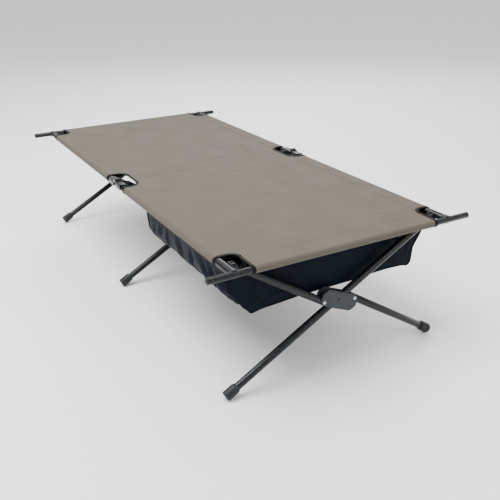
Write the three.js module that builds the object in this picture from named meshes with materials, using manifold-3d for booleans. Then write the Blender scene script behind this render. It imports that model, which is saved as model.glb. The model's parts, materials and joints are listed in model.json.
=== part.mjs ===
// A folding cot: two hinged side rails, three scissor leg pairs, two loose end bars,
// a bed fabric with sleeves, and a fabric tray slung under one half.
// Millimetres. X runs along the bed (the tray hangs at the +X half), Y across it, Z up.
// The origin is on the floor, under the middle of the bed.
import * as THREE from "three";
import { mergeVertices } from "three/addons/utils/BufferGeometryUtils.js";
import Module from "manifold-3d";

const wasm = await Module();
wasm.setup();

// ---- driving sizes ----------------------------------------------------------------------
const BED_LENGTH = 1890; // end bar axis to end bar axis
const RAIL_SPACING = 800; // side rail axis to side rail axis
const RAIL_HEIGHT = 452; // side rail axis above the floor
const FOOT_SPREAD = 828; // middle of one foot's sole end to the other's, across the bed

const RAIL_RADIUS = 12.5;
const LEG_RADIUS = 12.5;
const BAR_RADIUS = 10.5;
const TUBE_WALL = 1.5;
const BAR_LENGTH = 980;

const LEG_PAIR_INSET = 55; // end bar axis to the end leg pairs' plane
const MIDDLE_PAIR_OFFSET = 36; // middle leg pair's plane, from the centre hinges
const LEG_PIN_RADIUS = 4;
const EYE_RADIUS = 8;
const EYE_WIDTH = 12;
const EYE_CLEARANCE = 0.5; // leg's eye to its bracket's back plate
const EYE_REACH = 16; // leg top pin to the start of the leg's tube
const BRACKET_WALL = 2;
const BRACKET_HALF_LENGTH = 14;
const BRACKET_HALF_HEIGHT = 11;

const HALF_LEG_OFFSET = 26; // split leg's axis, from the hub's axis
const HALF_LEG_CLEARANCE = 2; // split leg's ends to the leg that crosses them
const PLATE_HALF_LENGTH = 74;
const PLATE_HALF_WIDTH = 29;
const PLATE_TILT = 9.6; // degrees by which a hub plate lies nearer level than the split leg
const PLATE_THICKNESS = 3;
const PLATE_CORNER = 18;
const HUB_BOLT_RADIUS = 5;
const RIVET_RADIUS = 3;
const RIVET_SETBACK = 18; // rivet, from the split leg's cut end

const FOOT_RADIUS = 17.5;
const FOOT_LENGTH = 48;
const FOOT_FLOOR = 8; // foot's closed end
const FOOT_CHAMFER = 3;
const FOOT_FLAT = 1.2; // depth worn flat on each sole

const FABRIC_THICKNESS = 1.6;
const HINGE_PIN_RADIUS = 3;
const HINGE_FOLD_GAP = 1.9; // top of a hinge leaf to the hinge pin's axis above it
const HINGE_KNUCKLE_RADIUS = 7;
const LEAF_LENGTH = 60;
const LEAF_THICKNESS = 2.2;
const LEAF_DEPTH = 7; // how far a leaf's cheeks reach below the rail's axis
const LEAF_EAR = 4.5; // width of each outer knuckle
const LEAF_ARM = 8; // how far a knuckle's arm runs along its leaf
const LEAF_ARM_LIFT = 1; // arm's top where the leaf starts, above the hinge pin's axis
const PIN_HEAD_HEIGHT = 2;
const BUTT_GAP = HINGE_KNUCKLE_RADIUS + 2; // each rail half and leaf stops this far from the hinge

const CRADLE_BACK = 7.1; // back of the end bar's groove to the rail's end
const CRADLE_JAW = 3.1; // wall above and below the groove
const CRADLE_PLUG = 30;
const CAP_DOME = 6; // height of an end bar cap's rounded end
const CAP_PLUG = 22;

const CUTOUT_DEPTH = 55; // fabric cut-outs, inwards from the rail's axis
const CENTRE_CUTOUT_HALF = 85;
const CORNER_CUTOUT_LENGTH = 100;
const CENTRE_SLIT = 0.3; // each half of the bed fabric stops this far from the fold

const TRAY_LENGTH = 590;
const TRAY_END_GAP = 24; // end leg pair's plane to the tray
const TRAY_BOTTOM_HALF = 310;
const TRAY_DEPTH = 168;
const TRAY_KNEE_DROP = 72; // the sides hang this far before they turn in under the bed
const TRAY_KNEE_INSET = 12;
const TRAY_WALL = 3;

const GAP = 0.4; // between pieces that touch
const RUNNING = 0.5; // added to a hole's radius so that a faceted shaft turns in it
const LAP = 1; // how far pieces of one solid run into each other before they are joined
const THROUGH = 60; // half the reach of a cut that goes right through
const SIDES = 12;
const FINE_SIDES = 16;

// ---- places worked out from the sizes ---------------------------------------------------
const END_X = BED_LENGTH / 2;
const RAIL_Y = RAIL_SPACING / 2;
const OVER_RAIL = RAIL_RADIUS + GAP; // rail's axis to what is fixed on it
const OVER_LEAF = OVER_RAIL + LEAF_THICKNESS + GAP; // the middle brackets are riveted over a hinge leaf
const HINGE_PIN_HEIGHT = OVER_RAIL + LEAF_THICKNESS + HINGE_FOLD_GAP; // above the rails' axes
const CRADLE_REACH = BAR_RADIUS + GAP + CRADLE_BACK; // end bar axis back to the rail's end
const CRADLE_RADIUS = BAR_RADIUS + GAP + CRADLE_JAW;
const PIN_INSET = OVER_LEAF + BRACKET_WALL + EYE_RADIUS + EYE_CLEARANCE; // leg top pin, from the rail's axis
const PIN_Y = RAIL_Y - PIN_INSET;
const SOLE_Y = FOOT_SPREAD / 2;
const LEG_X = { near: END_X - LEG_PAIR_INSET, middle: -MIDDLE_PAIR_OFFSET, far: LEG_PAIR_INSET - END_X };

// Height of the middle of a foot's end when its leg leans at this angle to the floor.
function soleHeight(angle) {
  return FOOT_RADIUS * Math.cos(angle) - FOOT_CHAMFER * Math.sin(angle) - FOOT_FLAT;
}

// Lean of the straight leg, from its top pin to its foot's end.
function straightLean() {
  let angle = 0.5;
  for (let pass = 0; pass < 30; pass += 1) {
    angle = Math.atan((RAIL_HEIGHT - soleHeight(angle)) / (PIN_Y + SOLE_Y));
  }
  return angle;
}

const LEAN_B = straightLean();
const HUB_Z = RAIL_HEIGHT - Math.tan(LEAN_B) * PIN_Y;
const ARM = PIN_Y / Math.cos(LEAN_B); // top pin to hub, the same on both legs
const LEAN_A = LEAN_B + Math.asin(HALF_LEG_OFFSET / ARM);
const CROSSING = LEAN_A + LEAN_B;

// Where each half of the split leg stops, so that the straight leg passes between them.
const HALF_LEG_STOP =
  (HALF_LEG_OFFSET + LEG_RADIUS) / Math.tan(CROSSING) + LEG_RADIUS / Math.sin(CROSSING) + HALF_LEG_CLEARANCE;
const RIVET_PLACE = HALF_LEG_STOP + RIVET_SETBACK;
const ARM_ALONG = Math.sqrt(ARM * ARM - HALF_LEG_OFFSET * HALF_LEG_OFFSET);
const SOLE_ALONG_B = (HUB_Z - soleHeight(LEAN_B)) / Math.sin(LEAN_B);
const SOLE_ALONG_A =
  (HUB_Z + HALF_LEG_OFFSET * Math.cos(LEAN_A) - soleHeight(LEAN_A)) / Math.sin(LEAN_A);

// ---- materials --------------------------------------------------------------------------
const finishes = {
  tube: { color: 0x2b2e31, roughness: 0.42, metalness: 0.6 },
  bracket: { color: 0x3a3e42, roughness: 0.45, metalness: 0.7 },
  plate: { color: 0x43484d, roughness: 0.5, metalness: 0.5 },
  rivet: { color: 0xb4b6b8, roughness: 0.3, metalness: 0.9 },
  moulded: { color: 0x1b1d1f, roughness: 0.6, metalness: 0 },
  canvas: { color: 0x918c80, roughness: 0.9, metalness: 0 },
  trayCloth: { color: 0x171c24, roughness: 0.85, metalness: 0 },
};

// ---- solids -----------------------------------------------------------------------------
function solid(geometry) {
  const plain = geometry.index ? geometry.toNonIndexed() : geometry.clone();
  plain.deleteAttribute("normal");
  plain.deleteAttribute("uv");
  const merged = mergeVertices(plain, 1e-4);
  const made = new wasm.Manifold(
    new wasm.Mesh({
      numProp: 3,
      vertProperties: new Float32Array(merged.attributes.position.array),
      triVerts: new Uint32Array(merged.index.array),
    }),
  );
  return made;
}

function geometryOf(manifold) {
  const mesh = manifold.getMesh();
  const geometry = new THREE.BufferGeometry();
  geometry.setAttribute("position", new THREE.BufferAttribute(new Float32Array(mesh.vertProperties), 3));
  geometry.setIndex(new THREE.BufferAttribute(new Uint32Array(mesh.triVerts), 1));
  return geometry;
}

// A cylinder between two distances on an axis through (0, 0, 0): "x", "y" or "z".
function rod(axis, radius, from, to, sides = SIDES) {
  const geometry = new THREE.CylinderGeometry(radius, radius, to - from, sides);
  geometry.rotateX(Math.PI / 2);
  geometry.translate(0, 0, (from + to) / 2);
  if (axis === "x") geometry.rotateY(Math.PI / 2);
  if (axis === "y") geometry.rotateX(-Math.PI / 2);
  return geometry;
}

function box(x0, x1, y0, y1, z0, z1) {
  const geometry = new THREE.BoxGeometry(x1 - x0, y1 - y0, z1 - z0);
  geometry.translate((x0 + x1) / 2, (y0 + y1) / 2, (z0 + z1) / 2);
  return geometry;
}

// A hollow tube on the Z axis with open ends.
function tube(radius, wall, from, to, sides = SIDES) {
  return solid(rod("z", radius, from, to, sides)).subtract(
    solid(rod("z", radius - wall, from - LAP, to + LAP, sides)),
  );
}

// Turns a solid made on the Z axis so that its axis lies along X.
function alongX(manifold) {
  return manifold.rotate([0, 90, 0]);
}
// Turns a solid made on the Z axis so that its axis lies along Y.
function alongY(manifold) {
  return manifold.rotate([-90, 0, 0]);
}

// An outline in (across, up) drawn in a vertical plane and given a thickness along the third axis.
function slab(outline, from, to) {
  const shape = new THREE.Shape(outline.map(([a, b]) => new THREE.Vector2(a, b)));
  const geometry = new THREE.ExtrudeGeometry(shape, { depth: to - from, bevelEnabled: false });
  geometry.translate(0, 0, from);
  return geometry;
}
// Shape in (Y, Z), thickness along X.
function slabAcross(outline, from, to) {
  return slab(outline, from, to).rotateX(Math.PI / 2).rotateZ(Math.PI / 2);
}
// Shape in (X, Z), thickness along Y.
function slabAlong(outline, from, to) {
  return slab(outline, -to, -from).rotateX(Math.PI / 2);
}

function arcPoints(centre, radius, start, end, steps) {
  const points = [];
  for (let step = 0; step <= steps; step += 1) {
    const angle = start + ((end - start) * step) / steps;
    points.push([centre[0] + radius * Math.cos(angle), centre[1] + radius * Math.sin(angle)]);
  }
  return points;
}

// ---- the object -------------------------------------------------------------------------
const cot = new THREE.Group();

function add(name, finish, geometry, place = [0, 0, 0]) {
  const mesh = new THREE.Mesh(geometry, new THREE.MeshStandardMaterial(finishes[finish]));
  mesh.name = name;
  mesh.position.set(...place);
  cot.add(mesh);
  return mesh;
}

// ---- side rails and what is fixed to them -----------------------------------------------
function railTube() {
  const length = END_X - CRADLE_REACH - BUTT_GAP;
  return alongX(tube(RAIL_RADIUS, TUBE_WALL, 0, length)).translate([BUTT_GAP, 0, 0]);
}

// The moulded rail end: a plug in the rail and a half-round seat that the end bar is drawn into.
function barCradle() {
  const seat = END_X - CRADLE_REACH + GAP;
  const plug = solid(rod("x", RAIL_RADIUS - TUBE_WALL - GAP, seat - CRADLE_PLUG, seat + LAP));
  const block = solid(rod("x", CRADLE_RADIUS, seat, END_X + LAP));
  const groove = solid(rod("y", BAR_RADIUS + GAP, -THROUGH, THROUGH, FINE_SIDES)).translate([END_X, 0, 0]);
  const mouth = solid(box(END_X, END_X + THROUGH, -THROUGH, THROUGH, -BAR_RADIUS - GAP, BAR_RADIUS + GAP));
  return plug.add(block).subtract(groove).subtract(mouth);
}

// A hinge leaf: a saddle over the rail with knuckles that stand above it, two if it is the forked leaf.
function hingeLeaf(forked) {
  const inner = OVER_RAIL;
  const outer = inner + LEAF_THICKNESS;
  const start = BUTT_GAP;
  const sunk = inner - 0.2; // keeps the arm's underside off the leaf's
  const knuckle = (from, to) => {
    const outline = [
      ...arcPoints([0, HINGE_PIN_HEIGHT], HINGE_KNUCKLE_RADIUS, Math.PI * 0.2, Math.PI * 1.5, 11),
      [start, sunk],
      [start + LEAF_ARM, sunk],
      [start + LEAF_ARM, outer - 0.2],
      [start, HINGE_PIN_HEIGHT + LEAF_ARM_LIFT],
    ];
    return solid(slabAlong(outline, from, to));
  };
  const web = solid(box(start, LEAF_LENGTH, -outer, outer, inner, outer));
  const cheeks = [-1, 1].map((side) => {
    const y = [side * inner, side * outer].sort((a, b) => a - b);
    const outline = [
      [start, -LEAF_DEPTH + 4],
      [start + 4, -LEAF_DEPTH],
      [LEAF_LENGTH - 6, -LEAF_DEPTH],
      [LEAF_LENGTH, -LEAF_DEPTH + 6],
      [LEAF_LENGTH, outer],
      [start, outer],
    ];
    return solid(slabAlong(outline, y[0], y[1]));
  });
  let leaf = web.add(cheeks[0]).add(cheeks[1]);
  if (forked) {
    leaf = leaf.add(knuckle(outer - LEAF_EAR, outer)).add(knuckle(-outer, LEAF_EAR - outer));
  } else {
    leaf = leaf.add(knuckle(LEAF_EAR + GAP - outer, outer - LEAF_EAR - GAP));
  }
  const bore = solid(rod("y", HINGE_PIN_RADIUS + RUNNING, -THROUGH, THROUGH));
  return leaf.subtract(bore.translate([0, 0, HINGE_PIN_HEIGHT]));
}

function hingePin() {
  const reach = OVER_LEAF;
  const shank = solid(rod("y", HINGE_PIN_RADIUS, -reach - LAP, reach + LAP));
  const heads = [-1, 1].map((side) => {
    const ends = [side * reach, side * (reach + PIN_HEAD_HEIGHT)].sort((a, b) => a - b);
    return solid(rod("y", HINGE_PIN_RADIUS + 2, ends[0], ends[1]));
  });
  return shank.add(heads[0]).add(heads[1]);
}

// The bracket on the inner side of a rail that holds a leg's top pin. Made for a rail on the -Y side,
// with its back plate this far in from the rail's axis.
function legBracket(back) {
  const wide = BRACKET_HALF_LENGTH;
  const high = BRACKET_HALF_HEIGHT;
  const plate = solid(box(-wide, wide, back, back + BRACKET_WALL, -high, high));
  const ear = EYE_WIDTH / 2 + GAP;
  const tip = arcPoints([PIN_INSET, 0], high - 1, -Math.PI / 2, Math.PI / 2, 8);
  const outline = [[back, -high], ...tip, [back, high]];
  const ears = [-1, 1].map((side) => {
    const ends = [side * ear, side * (ear + BRACKET_WALL + 1)].sort((a, b) => a - b);
    return solid(slabAcross(outline, ends[0], ends[1]));
  });
  const pinReach = ear + BRACKET_WALL + 3;
  const pin = solid(rod("x", LEG_PIN_RADIUS, -pinReach, pinReach)).translate([0, PIN_INSET, 0]);
  return plate.add(ears[0]).add(ears[1]).add(pin);
}

const halves = [
  { half: "near", along: 1, forked: true },
  { half: "far", along: -1, forked: false },
];
const sides = [
  { side: "left", across: -1 },
  { side: "right", across: 1 },
];

function mirrorTo(manifold, along, across) {
  let placed = manifold;
  if (along < 0) placed = placed.mirror([1, 0, 0]);
  if (across > 0) placed = placed.mirror([0, 1, 0]);
  return geometryOf(placed);
}

for (const { half, along, forked } of halves) {
  for (const { side, across } of sides) {
    const place = [0, across * RAIL_Y, RAIL_HEIGHT];
    add(`${half}_${side}_rail`, "tube", mirrorTo(railTube(), along, across), place);
    add(`${half}_${side}_bar_cradle`, "moulded", mirrorTo(barCradle(), along, across), place);
    add(`${half}_${side}_hinge_leaf`, "bracket", mirrorTo(hingeLeaf(forked), along, across), place);
  }
}
for (const { side, across } of sides) {
  const place = [0, across * RAIL_Y, RAIL_HEIGHT + HINGE_PIN_HEIGHT];
  add(`${side}_hinge_pin`, "rivet", geometryOf(hingePin()), place);
}

// ---- end bars ---------------------------------------------------------------------------
function barCap() {
  const bore = BAR_RADIUS - TUBE_WALL - GAP;
  const profile = [
    [0, -CAP_PLUG],
    [bore, -CAP_PLUG],
    [bore, GAP],
    [BAR_RADIUS, GAP],
    ...arcPoints([BAR_RADIUS - CAP_DOME, GAP], CAP_DOME, 0, Math.PI / 2, 4),
    [0, GAP + CAP_DOME],
  ];
  const points = profile.map(([r, z]) => new THREE.Vector2(r, z));
  return solid(new THREE.LatheGeometry(points, SIDES).rotateX(Math.PI / 2));
}

const BAR_TUBE_HALF = BAR_LENGTH / 2 - CAP_DOME - GAP;
for (const { half, along } of halves) {
  const centre = [along * END_X, 0, RAIL_HEIGHT];
  const bar = alongY(tube(BAR_RADIUS, TUBE_WALL, -BAR_TUBE_HALF, BAR_TUBE_HALF));
  add(`${half}_end_bar`, "tube", geometryOf(bar), centre);
  for (const { side, across } of sides) {
    const cap = alongY(barCap()).translate([0, BAR_TUBE_HALF, 0]);
    const geometry = geometryOf(across < 0 ? cap.mirror([0, 1, 0]) : cap);
    add(`${half}_${side}_bar_cap`, "moulded", geometry, centre);
  }
}

// ---- leg pairs --------------------------------------------------------------------------
// A leg piece is made on the Z axis, then turned about X so that Z points down the leg.
// The straight leg falls towards -Y and the split leg falls towards +Y.
function downLeg(manifold, lean, towards) {
  return manifold.rotate([towards * ((lean * 180) / Math.PI + 90), 0, 0]);
}

// The flattened top end of a leg, with the hole for its pin at z = 0.
function legEye() {
  const shank = solid(box(-EYE_WIDTH / 2, EYE_WIDTH / 2, -EYE_RADIUS, EYE_RADIUS, 0, EYE_REACH + LAP));
  const round = solid(rod("x", EYE_RADIUS, -EYE_WIDTH / 2, EYE_WIDTH / 2));
  const plug = solid(rod("z", LEG_RADIUS - TUBE_WALL / 2, EYE_REACH, EYE_REACH + EYE_WIDTH));
  return shank.add(round).add(plug);
}

function eyeHole() {
  return solid(rod("x", LEG_PIN_RADIUS + RUNNING, -THROUGH, THROUGH));
}

function legTube(from, to) {
  return tube(LEG_RADIUS, TUBE_WALL, from, to);
}

const TUBE_END = FOOT_FLOOR + GAP; // leg tube's end, from its foot's outer end

function straightLeg() {
  const length = ARM + SOLE_ALONG_B;
  const hub = solid(rod("x", HUB_BOLT_RADIUS + RUNNING, -THROUGH, THROUGH)).translate([0, 0, ARM]);
  const leg = legTube(EYE_REACH, length - TUBE_END).add(legEye()).subtract(eyeHole()).subtract(hub);
  return downLeg(leg, LEAN_B, 1).translate([0, PIN_Y, RAIL_HEIGHT]);
}

function rivetHole(at) {
  return solid(rod("x", RIVET_RADIUS + GAP, -THROUGH, THROUGH)).translate([0, 0, at]);
}

function splitLegUpper() {
  const leg = legTube(EYE_REACH, ARM_ALONG - HALF_LEG_STOP)
    .add(legEye())
    .subtract(eyeHole())
    .subtract(rivetHole(ARM_ALONG - RIVET_PLACE));
  return downLeg(leg, LEAN_A, -1).translate([0, -PIN_Y, RAIL_HEIGHT]);
}

function splitLegLower() {
  const leg = legTube(HALF_LEG_STOP, SOLE_ALONG_A - TUBE_END).subtract(rivetHole(RIVET_PLACE));
  const lift = [0, HALF_LEG_OFFSET * Math.sin(LEAN_A), HALF_LEG_OFFSET * Math.cos(LEAN_A)];
  return downLeg(leg, LEAN_A, -1).translate([0, lift[1], HUB_Z + lift[2]]);
}

function foot() {
  const bore = LEG_RADIUS + GAP;
  const profile = [
    [0, 0],
    [FOOT_RADIUS - FOOT_CHAMFER, 0],
    [FOOT_RADIUS, FOOT_CHAMFER],
    [FOOT_RADIUS, FOOT_LENGTH - 2],
    [FOOT_RADIUS - 2, FOOT_LENGTH],
    [bore, FOOT_LENGTH],
    [bore, FOOT_FLOOR],
    [0, FOOT_FLOOR],
  ];
  const points = profile.map(([r, z]) => new THREE.Vector2(r, -z));
  const lathe = new THREE.LatheGeometry(points.reverse(), FINE_SIDES).rotateX(Math.PI / 2);
  return solid(lathe);
}

// A foot on a leg of this lean, with its sole cut flat on the floor.
function placedFoot(lean, towards, start, along) {
  const lifted = downLeg(foot().translate([0, 0, along]), lean, towards).translate(start);
  const below = solid(box(-THROUGH, THROUGH, -FOOT_SPREAD, FOOT_SPREAD, -THROUGH, 0));
  return lifted.subtract(below);
}

// A place in (Y, Z) about the hub, given along the split leg and off its line.
function plateFrame([along, off]) {
  return [
    along * Math.cos(LEAN_A) + off * Math.sin(LEAN_A),
    -along * Math.sin(LEAN_A) + off * Math.cos(LEAN_A),
  ];
}

// A place in a hub plate's own outline, given along the split leg and off its line.
function tilted([along, off]) {
  const turn = (PLATE_TILT * Math.PI) / 180;
  return [along * Math.cos(turn) - off * Math.sin(turn), along * Math.sin(turn) + off * Math.cos(turn)];
}

function hubPlate(from, to) {
  const straight = PLATE_HALF_LENGTH - PLATE_CORNER;
  const tip = PLATE_HALF_WIDTH - PLATE_CORNER;
  const corners = [
    [PLATE_HALF_LENGTH, -tip],
    [PLATE_HALF_LENGTH, tip],
    [straight, PLATE_HALF_WIDTH],
    [-straight, PLATE_HALF_WIDTH],
    [-PLATE_HALF_LENGTH, tip],
    [-PLATE_HALF_LENGTH, -tip],
    [-straight, -PLATE_HALF_WIDTH],
    [straight, -PLATE_HALF_WIDTH],
  ];
  const holes = [
    { at: [0, 0], radius: HUB_BOLT_RADIUS + RUNNING },
    { at: plateFrame([-RIVET_PLACE, -HALF_LEG_OFFSET]), radius: RIVET_RADIUS + GAP },
    { at: plateFrame([RIVET_PLACE, HALF_LEG_OFFSET]), radius: RIVET_RADIUS + GAP },
  ];
  const outline = corners.map(tilted).map(plateFrame);
  let plate = solid(slabAcross(outline, from, to));
  for (const { at, radius } of holes) {
    plate = plate.subtract(solid(rod("x", radius, -THROUGH, THROUGH)).translate([0, at[0], at[1]]));
  }
  return geometryOf(plate);
}

const PLATE_INNER = LEG_RADIUS + GAP;
const PLATE_OUTER = PLATE_INNER + PLATE_THICKNESS;

function throughPin(radius, headRadius, headHeight, headSides) {
  const reach = PLATE_OUTER + GAP;
  const shank = solid(rod("x", radius, -reach - LAP, reach + LAP));
  const front = solid(rod("x", headRadius, reach, reach + headHeight, headSides));
  const rear = solid(rod("x", headRadius, -reach - headHeight, -reach, headSides));
  return geometryOf(shank.add(front).add(rear));
}

for (const [pair, x] of Object.entries(LEG_X)) {
  const place = [x, 0, 0];
  const hub = [x, 0, HUB_Z];
  add(`${pair}_straight_leg`, "tube", geometryOf(straightLeg()), place);
  add(`${pair}_split_leg_upper`, "tube", geometryOf(splitLegUpper()), place);
  add(`${pair}_split_leg_lower`, "tube", geometryOf(splitLegLower()), place);
  add(`${pair}_hub_plate_outer`, "plate", hubPlate(PLATE_INNER, PLATE_OUTER), hub);
  add(`${pair}_hub_plate_inner`, "plate", hubPlate(-PLATE_OUTER, -PLATE_INNER), hub);
  add(`${pair}_hub_bolt`, "rivet", throughPin(HUB_BOLT_RADIUS, HUB_BOLT_RADIUS + 4, 4, 6), hub);
  for (const [end, sign] of [["upper", -1], ["lower", 1]]) {
    const [dy, dz] = plateFrame([sign * RIVET_PLACE, sign * HALF_LEG_OFFSET]);
    const rivet = throughPin(RIVET_RADIUS, RIVET_RADIUS + 3, 2, SIDES);
    add(`${pair}_hub_rivet_${end}`, "rivet", rivet, [x, dy, HUB_Z + dz]);
  }
  const leftFoot = placedFoot(LEAN_B, 1, [0, 0, HUB_Z], SOLE_ALONG_B);
  const offset = [0, HALF_LEG_OFFSET * Math.sin(LEAN_A), HUB_Z + HALF_LEG_OFFSET * Math.cos(LEAN_A)];
  const rightFoot = placedFoot(LEAN_A, -1, offset, SOLE_ALONG_A);
  add(`${pair}_left_foot`, "moulded", geometryOf(leftFoot), place);
  add(`${pair}_right_foot`, "moulded", geometryOf(rightFoot), place);
  for (const { side, across } of sides) {
    const bracket = mirrorTo(legBracket(pair === "middle" ? OVER_LEAF : OVER_RAIL), 1, across);
    add(`${pair}_${side}_leg_bracket`, "bracket", bracket, [x, across * RAIL_Y, RAIL_HEIGHT]);
  }
}

// ---- bed fabric -------------------------------------------------------------------------
const SLEEVE_INNER = RAIL_RADIUS + GAP;
const SLEEVE_OUTER = SLEEVE_INNER + FABRIC_THICKNESS;

function cutout(halfLength, depth, round) {
  const edge = RAIL_Y - depth;
  const beyond = RAIL_Y + THROUGH;
  const shape = new THREE.Shape();
  shape.moveTo(-halfLength, beyond);
  shape.lineTo(-halfLength, edge + round);
  shape.absarc(-halfLength + round, edge + round, round, Math.PI, Math.PI * 1.5, false);
  shape.lineTo(halfLength - round, edge);
  shape.absarc(halfLength - round, edge + round, round, Math.PI * 1.5, Math.PI * 2, false);
  shape.lineTo(halfLength, beyond);
  const settings = { depth: 2 * THROUGH, bevelEnabled: false, curveSegments: 6 };
  const geometry = new THREE.ExtrudeGeometry(shape, settings);
  return solid(geometry.translate(0, 0, -THROUGH));
}

// The +X half of the bed fabric, about the rail axes' height.
function bedHalf() {
  const top = SLEEVE_OUTER;
  const sheet = solid(box(CENTRE_SLIT, END_X, -RAIL_Y, RAIL_Y, top - FABRIC_THICKNESS, top));
  const sideSleeve = alongX(tube(SLEEVE_OUTER, FABRIC_THICKNESS, CENTRE_SLIT, END_X, FINE_SIDES));
  const endSleeve = alongY(tube(SLEEVE_OUTER, FABRIC_THICKNESS, -RAIL_Y, RAIL_Y, FINE_SIDES));
  let bed = sheet.add(endSleeve.translate([END_X, 0, 0]));
  const railRoom = solid(rod("x", SLEEVE_INNER, -THROUGH, END_X + THROUGH, FINE_SIDES));
  const barRoom = solid(rod("y", SLEEVE_INNER, -BAR_LENGTH, BAR_LENGTH, FINE_SIDES)).translate([END_X, 0, 0]);
  for (const { across } of sides) {
    bed = bed.add(sideSleeve.translate([0, across * RAIL_Y, 0]));
    bed = bed.subtract(railRoom.translate([0, across * RAIL_Y, 0]));
  }
  bed = bed.subtract(barRoom);
  for (const { across } of sides) {
    const centre = cutout(CENTRE_CUTOUT_HALF, CUTOUT_DEPTH, CUTOUT_DEPTH * 0.7);
    const corner = cutout(CORNER_CUTOUT_LENGTH, CUTOUT_DEPTH, CUTOUT_DEPTH * 0.5).translate([END_X, 0, 0]);
    const cuts = [centre, corner].map((cut) => (across < 0 ? cut.mirror([0, 1, 0]) : cut));
    bed = bed.subtract(cuts[0]).subtract(cuts[1]);
  }
  return bed;
}

for (const { half, along } of halves) {
  add(`${half}_bed_fabric`, "canvas", mirrorTo(bedHalf(), along, -1), [0, 0, RAIL_HEIGHT]);
}

// ---- storage tray -----------------------------------------------------------------------
const TRAY_TOP_Z = RAIL_HEIGHT - SLEEVE_OUTER - GAP;

function traySection(inset, floor) {
  const half = RAIL_Y - inset;
  const bottomHalf = TRAY_BOTTOM_HALF - inset;
  const bottom = TRAY_TOP_Z - TRAY_DEPTH + floor;
  const top = TRAY_TOP_Z + (floor > 0 ? LAP : 0);
  const kneeHalf = half - TRAY_KNEE_INSET;
  const knee = TRAY_TOP_Z - TRAY_KNEE_DROP;
  const right = [[bottomHalf, bottom], [kneeHalf, knee], [half, top]];
  const left = right.map(([y, z]) => [-y, z]).reverse();
  return [...left, ...right];
}

function tray() {
  const nearEnd = LEG_X.near - TRAY_END_GAP;
  const farEnd = nearEnd - TRAY_LENGTH;
  const shell = solid(slabAcross(traySection(0, 0), farEnd, nearEnd));
  const inner = traySection(TRAY_WALL, TRAY_WALL);
  const hollow = solid(slabAcross(inner, farEnd + TRAY_WALL, nearEnd - TRAY_WALL));
  return shell.subtract(hollow);
}

add("storage_tray", "trayCloth", geometryOf(tray()));

export default cot;
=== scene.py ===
"""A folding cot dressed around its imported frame: tubes, scissor legs, bed fabric and storage tray.

Metres. X runs along the bed, the near half is at +X and carries the tray. Y runs across, with the
left side at -Y. Z is up and the floor is at zero.
"""

import json
import logging
import math
from contextlib import contextmanager
from dataclasses import dataclass, field
from enum import Enum
from typing import Callable, Iterator, Sequence

import bmesh
import bpy
import numpy as np
from mathutils import Matrix, Vector


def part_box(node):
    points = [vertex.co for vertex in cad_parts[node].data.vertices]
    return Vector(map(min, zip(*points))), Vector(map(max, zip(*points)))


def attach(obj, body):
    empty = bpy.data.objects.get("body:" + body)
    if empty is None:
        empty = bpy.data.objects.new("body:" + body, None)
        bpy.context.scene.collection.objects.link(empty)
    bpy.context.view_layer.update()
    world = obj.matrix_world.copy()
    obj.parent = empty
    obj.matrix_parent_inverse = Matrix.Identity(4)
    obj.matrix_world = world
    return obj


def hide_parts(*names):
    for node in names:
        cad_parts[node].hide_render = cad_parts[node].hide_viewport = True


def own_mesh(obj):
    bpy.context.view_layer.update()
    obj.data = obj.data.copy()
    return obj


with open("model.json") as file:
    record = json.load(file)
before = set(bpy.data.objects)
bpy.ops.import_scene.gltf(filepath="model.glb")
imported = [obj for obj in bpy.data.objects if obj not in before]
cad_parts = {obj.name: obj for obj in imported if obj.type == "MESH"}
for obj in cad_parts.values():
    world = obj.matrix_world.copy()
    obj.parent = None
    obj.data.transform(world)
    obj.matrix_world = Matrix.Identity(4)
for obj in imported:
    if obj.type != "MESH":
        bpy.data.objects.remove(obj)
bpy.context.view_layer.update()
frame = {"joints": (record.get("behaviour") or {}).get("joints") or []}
LOG = logging.getLogger("cot")

Colour = tuple[float, float, float, float]
Section = tuple[float, float, float]
Pairs = Sequence[tuple[float, float]]
Piece = bpy.types.Object
Tree = bpy.types.NodeTree
Node = bpy.types.Node
Socket = bpy.types.NodeSocket
Grid = np.ndarray
MM = 0.001
SAME = 0.01 * MM  # places closer than this count as one
AXIS_X = Vector((1.0, 0.0, 0.0))
AXIS_Y = Vector((0.0, 1.0, 0.0))
AXIS_Z = Vector((0.0, 0.0, 1.0))
HALF_TURN = Matrix.Rotation(math.pi, 4, "Z")


# ---- named options ----------------------------------------------------------------------
class Half(Enum):
    """The two halves of the cot, either side of the centre fold."""

    NEAR = "near"
    FAR = "far"

    @property
    def along(self) -> int:
        """Direction of this half along the bed."""
        return 1 if self is Half.NEAR else -1


class Side(Enum):
    """The two side rails."""

    LEFT = "left"
    RIGHT = "right"

    @property
    def across(self) -> int:
        """Direction of this side across the bed."""
        return -1 if self is Side.LEFT else 1


class Pair(Enum):
    """The three scissor leg pairs."""

    NEAR = "near"
    MIDDLE = "middle"
    FAR = "far"


class Slot(Enum):
    """The record's material slots."""

    TUBE = "coated_tube"
    BRACKET = "pressed_bracket"
    PLATE = "hub_plate"
    RIVET = "bright_rivet"
    MOULDED = "moulded_black"
    CANVAS = "bed_canvas"
    TRAY = "tray_cloth"


# ---- modelling moves --------------------------------------------------------------------
def let_go() -> None:
    """Leave edit mode and deselect everything."""
    active = bpy.context.view_layer.objects.active
    if active is not None and active.mode != "OBJECT":
        bpy.ops.object.mode_set(mode="OBJECT")
    bpy.ops.object.select_all(action="DESELECT")


def hold(piece: Piece) -> None:
    """Make a piece the only selected and the active one."""
    let_go()
    piece.select_set(True)
    bpy.context.view_layer.objects.active = piece


def named(name: str) -> Piece:
    """Name the primitive that was just added, and its mesh."""
    piece = bpy.context.view_layer.objects.active
    piece.name = name
    piece.data.name = name
    return piece


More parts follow.
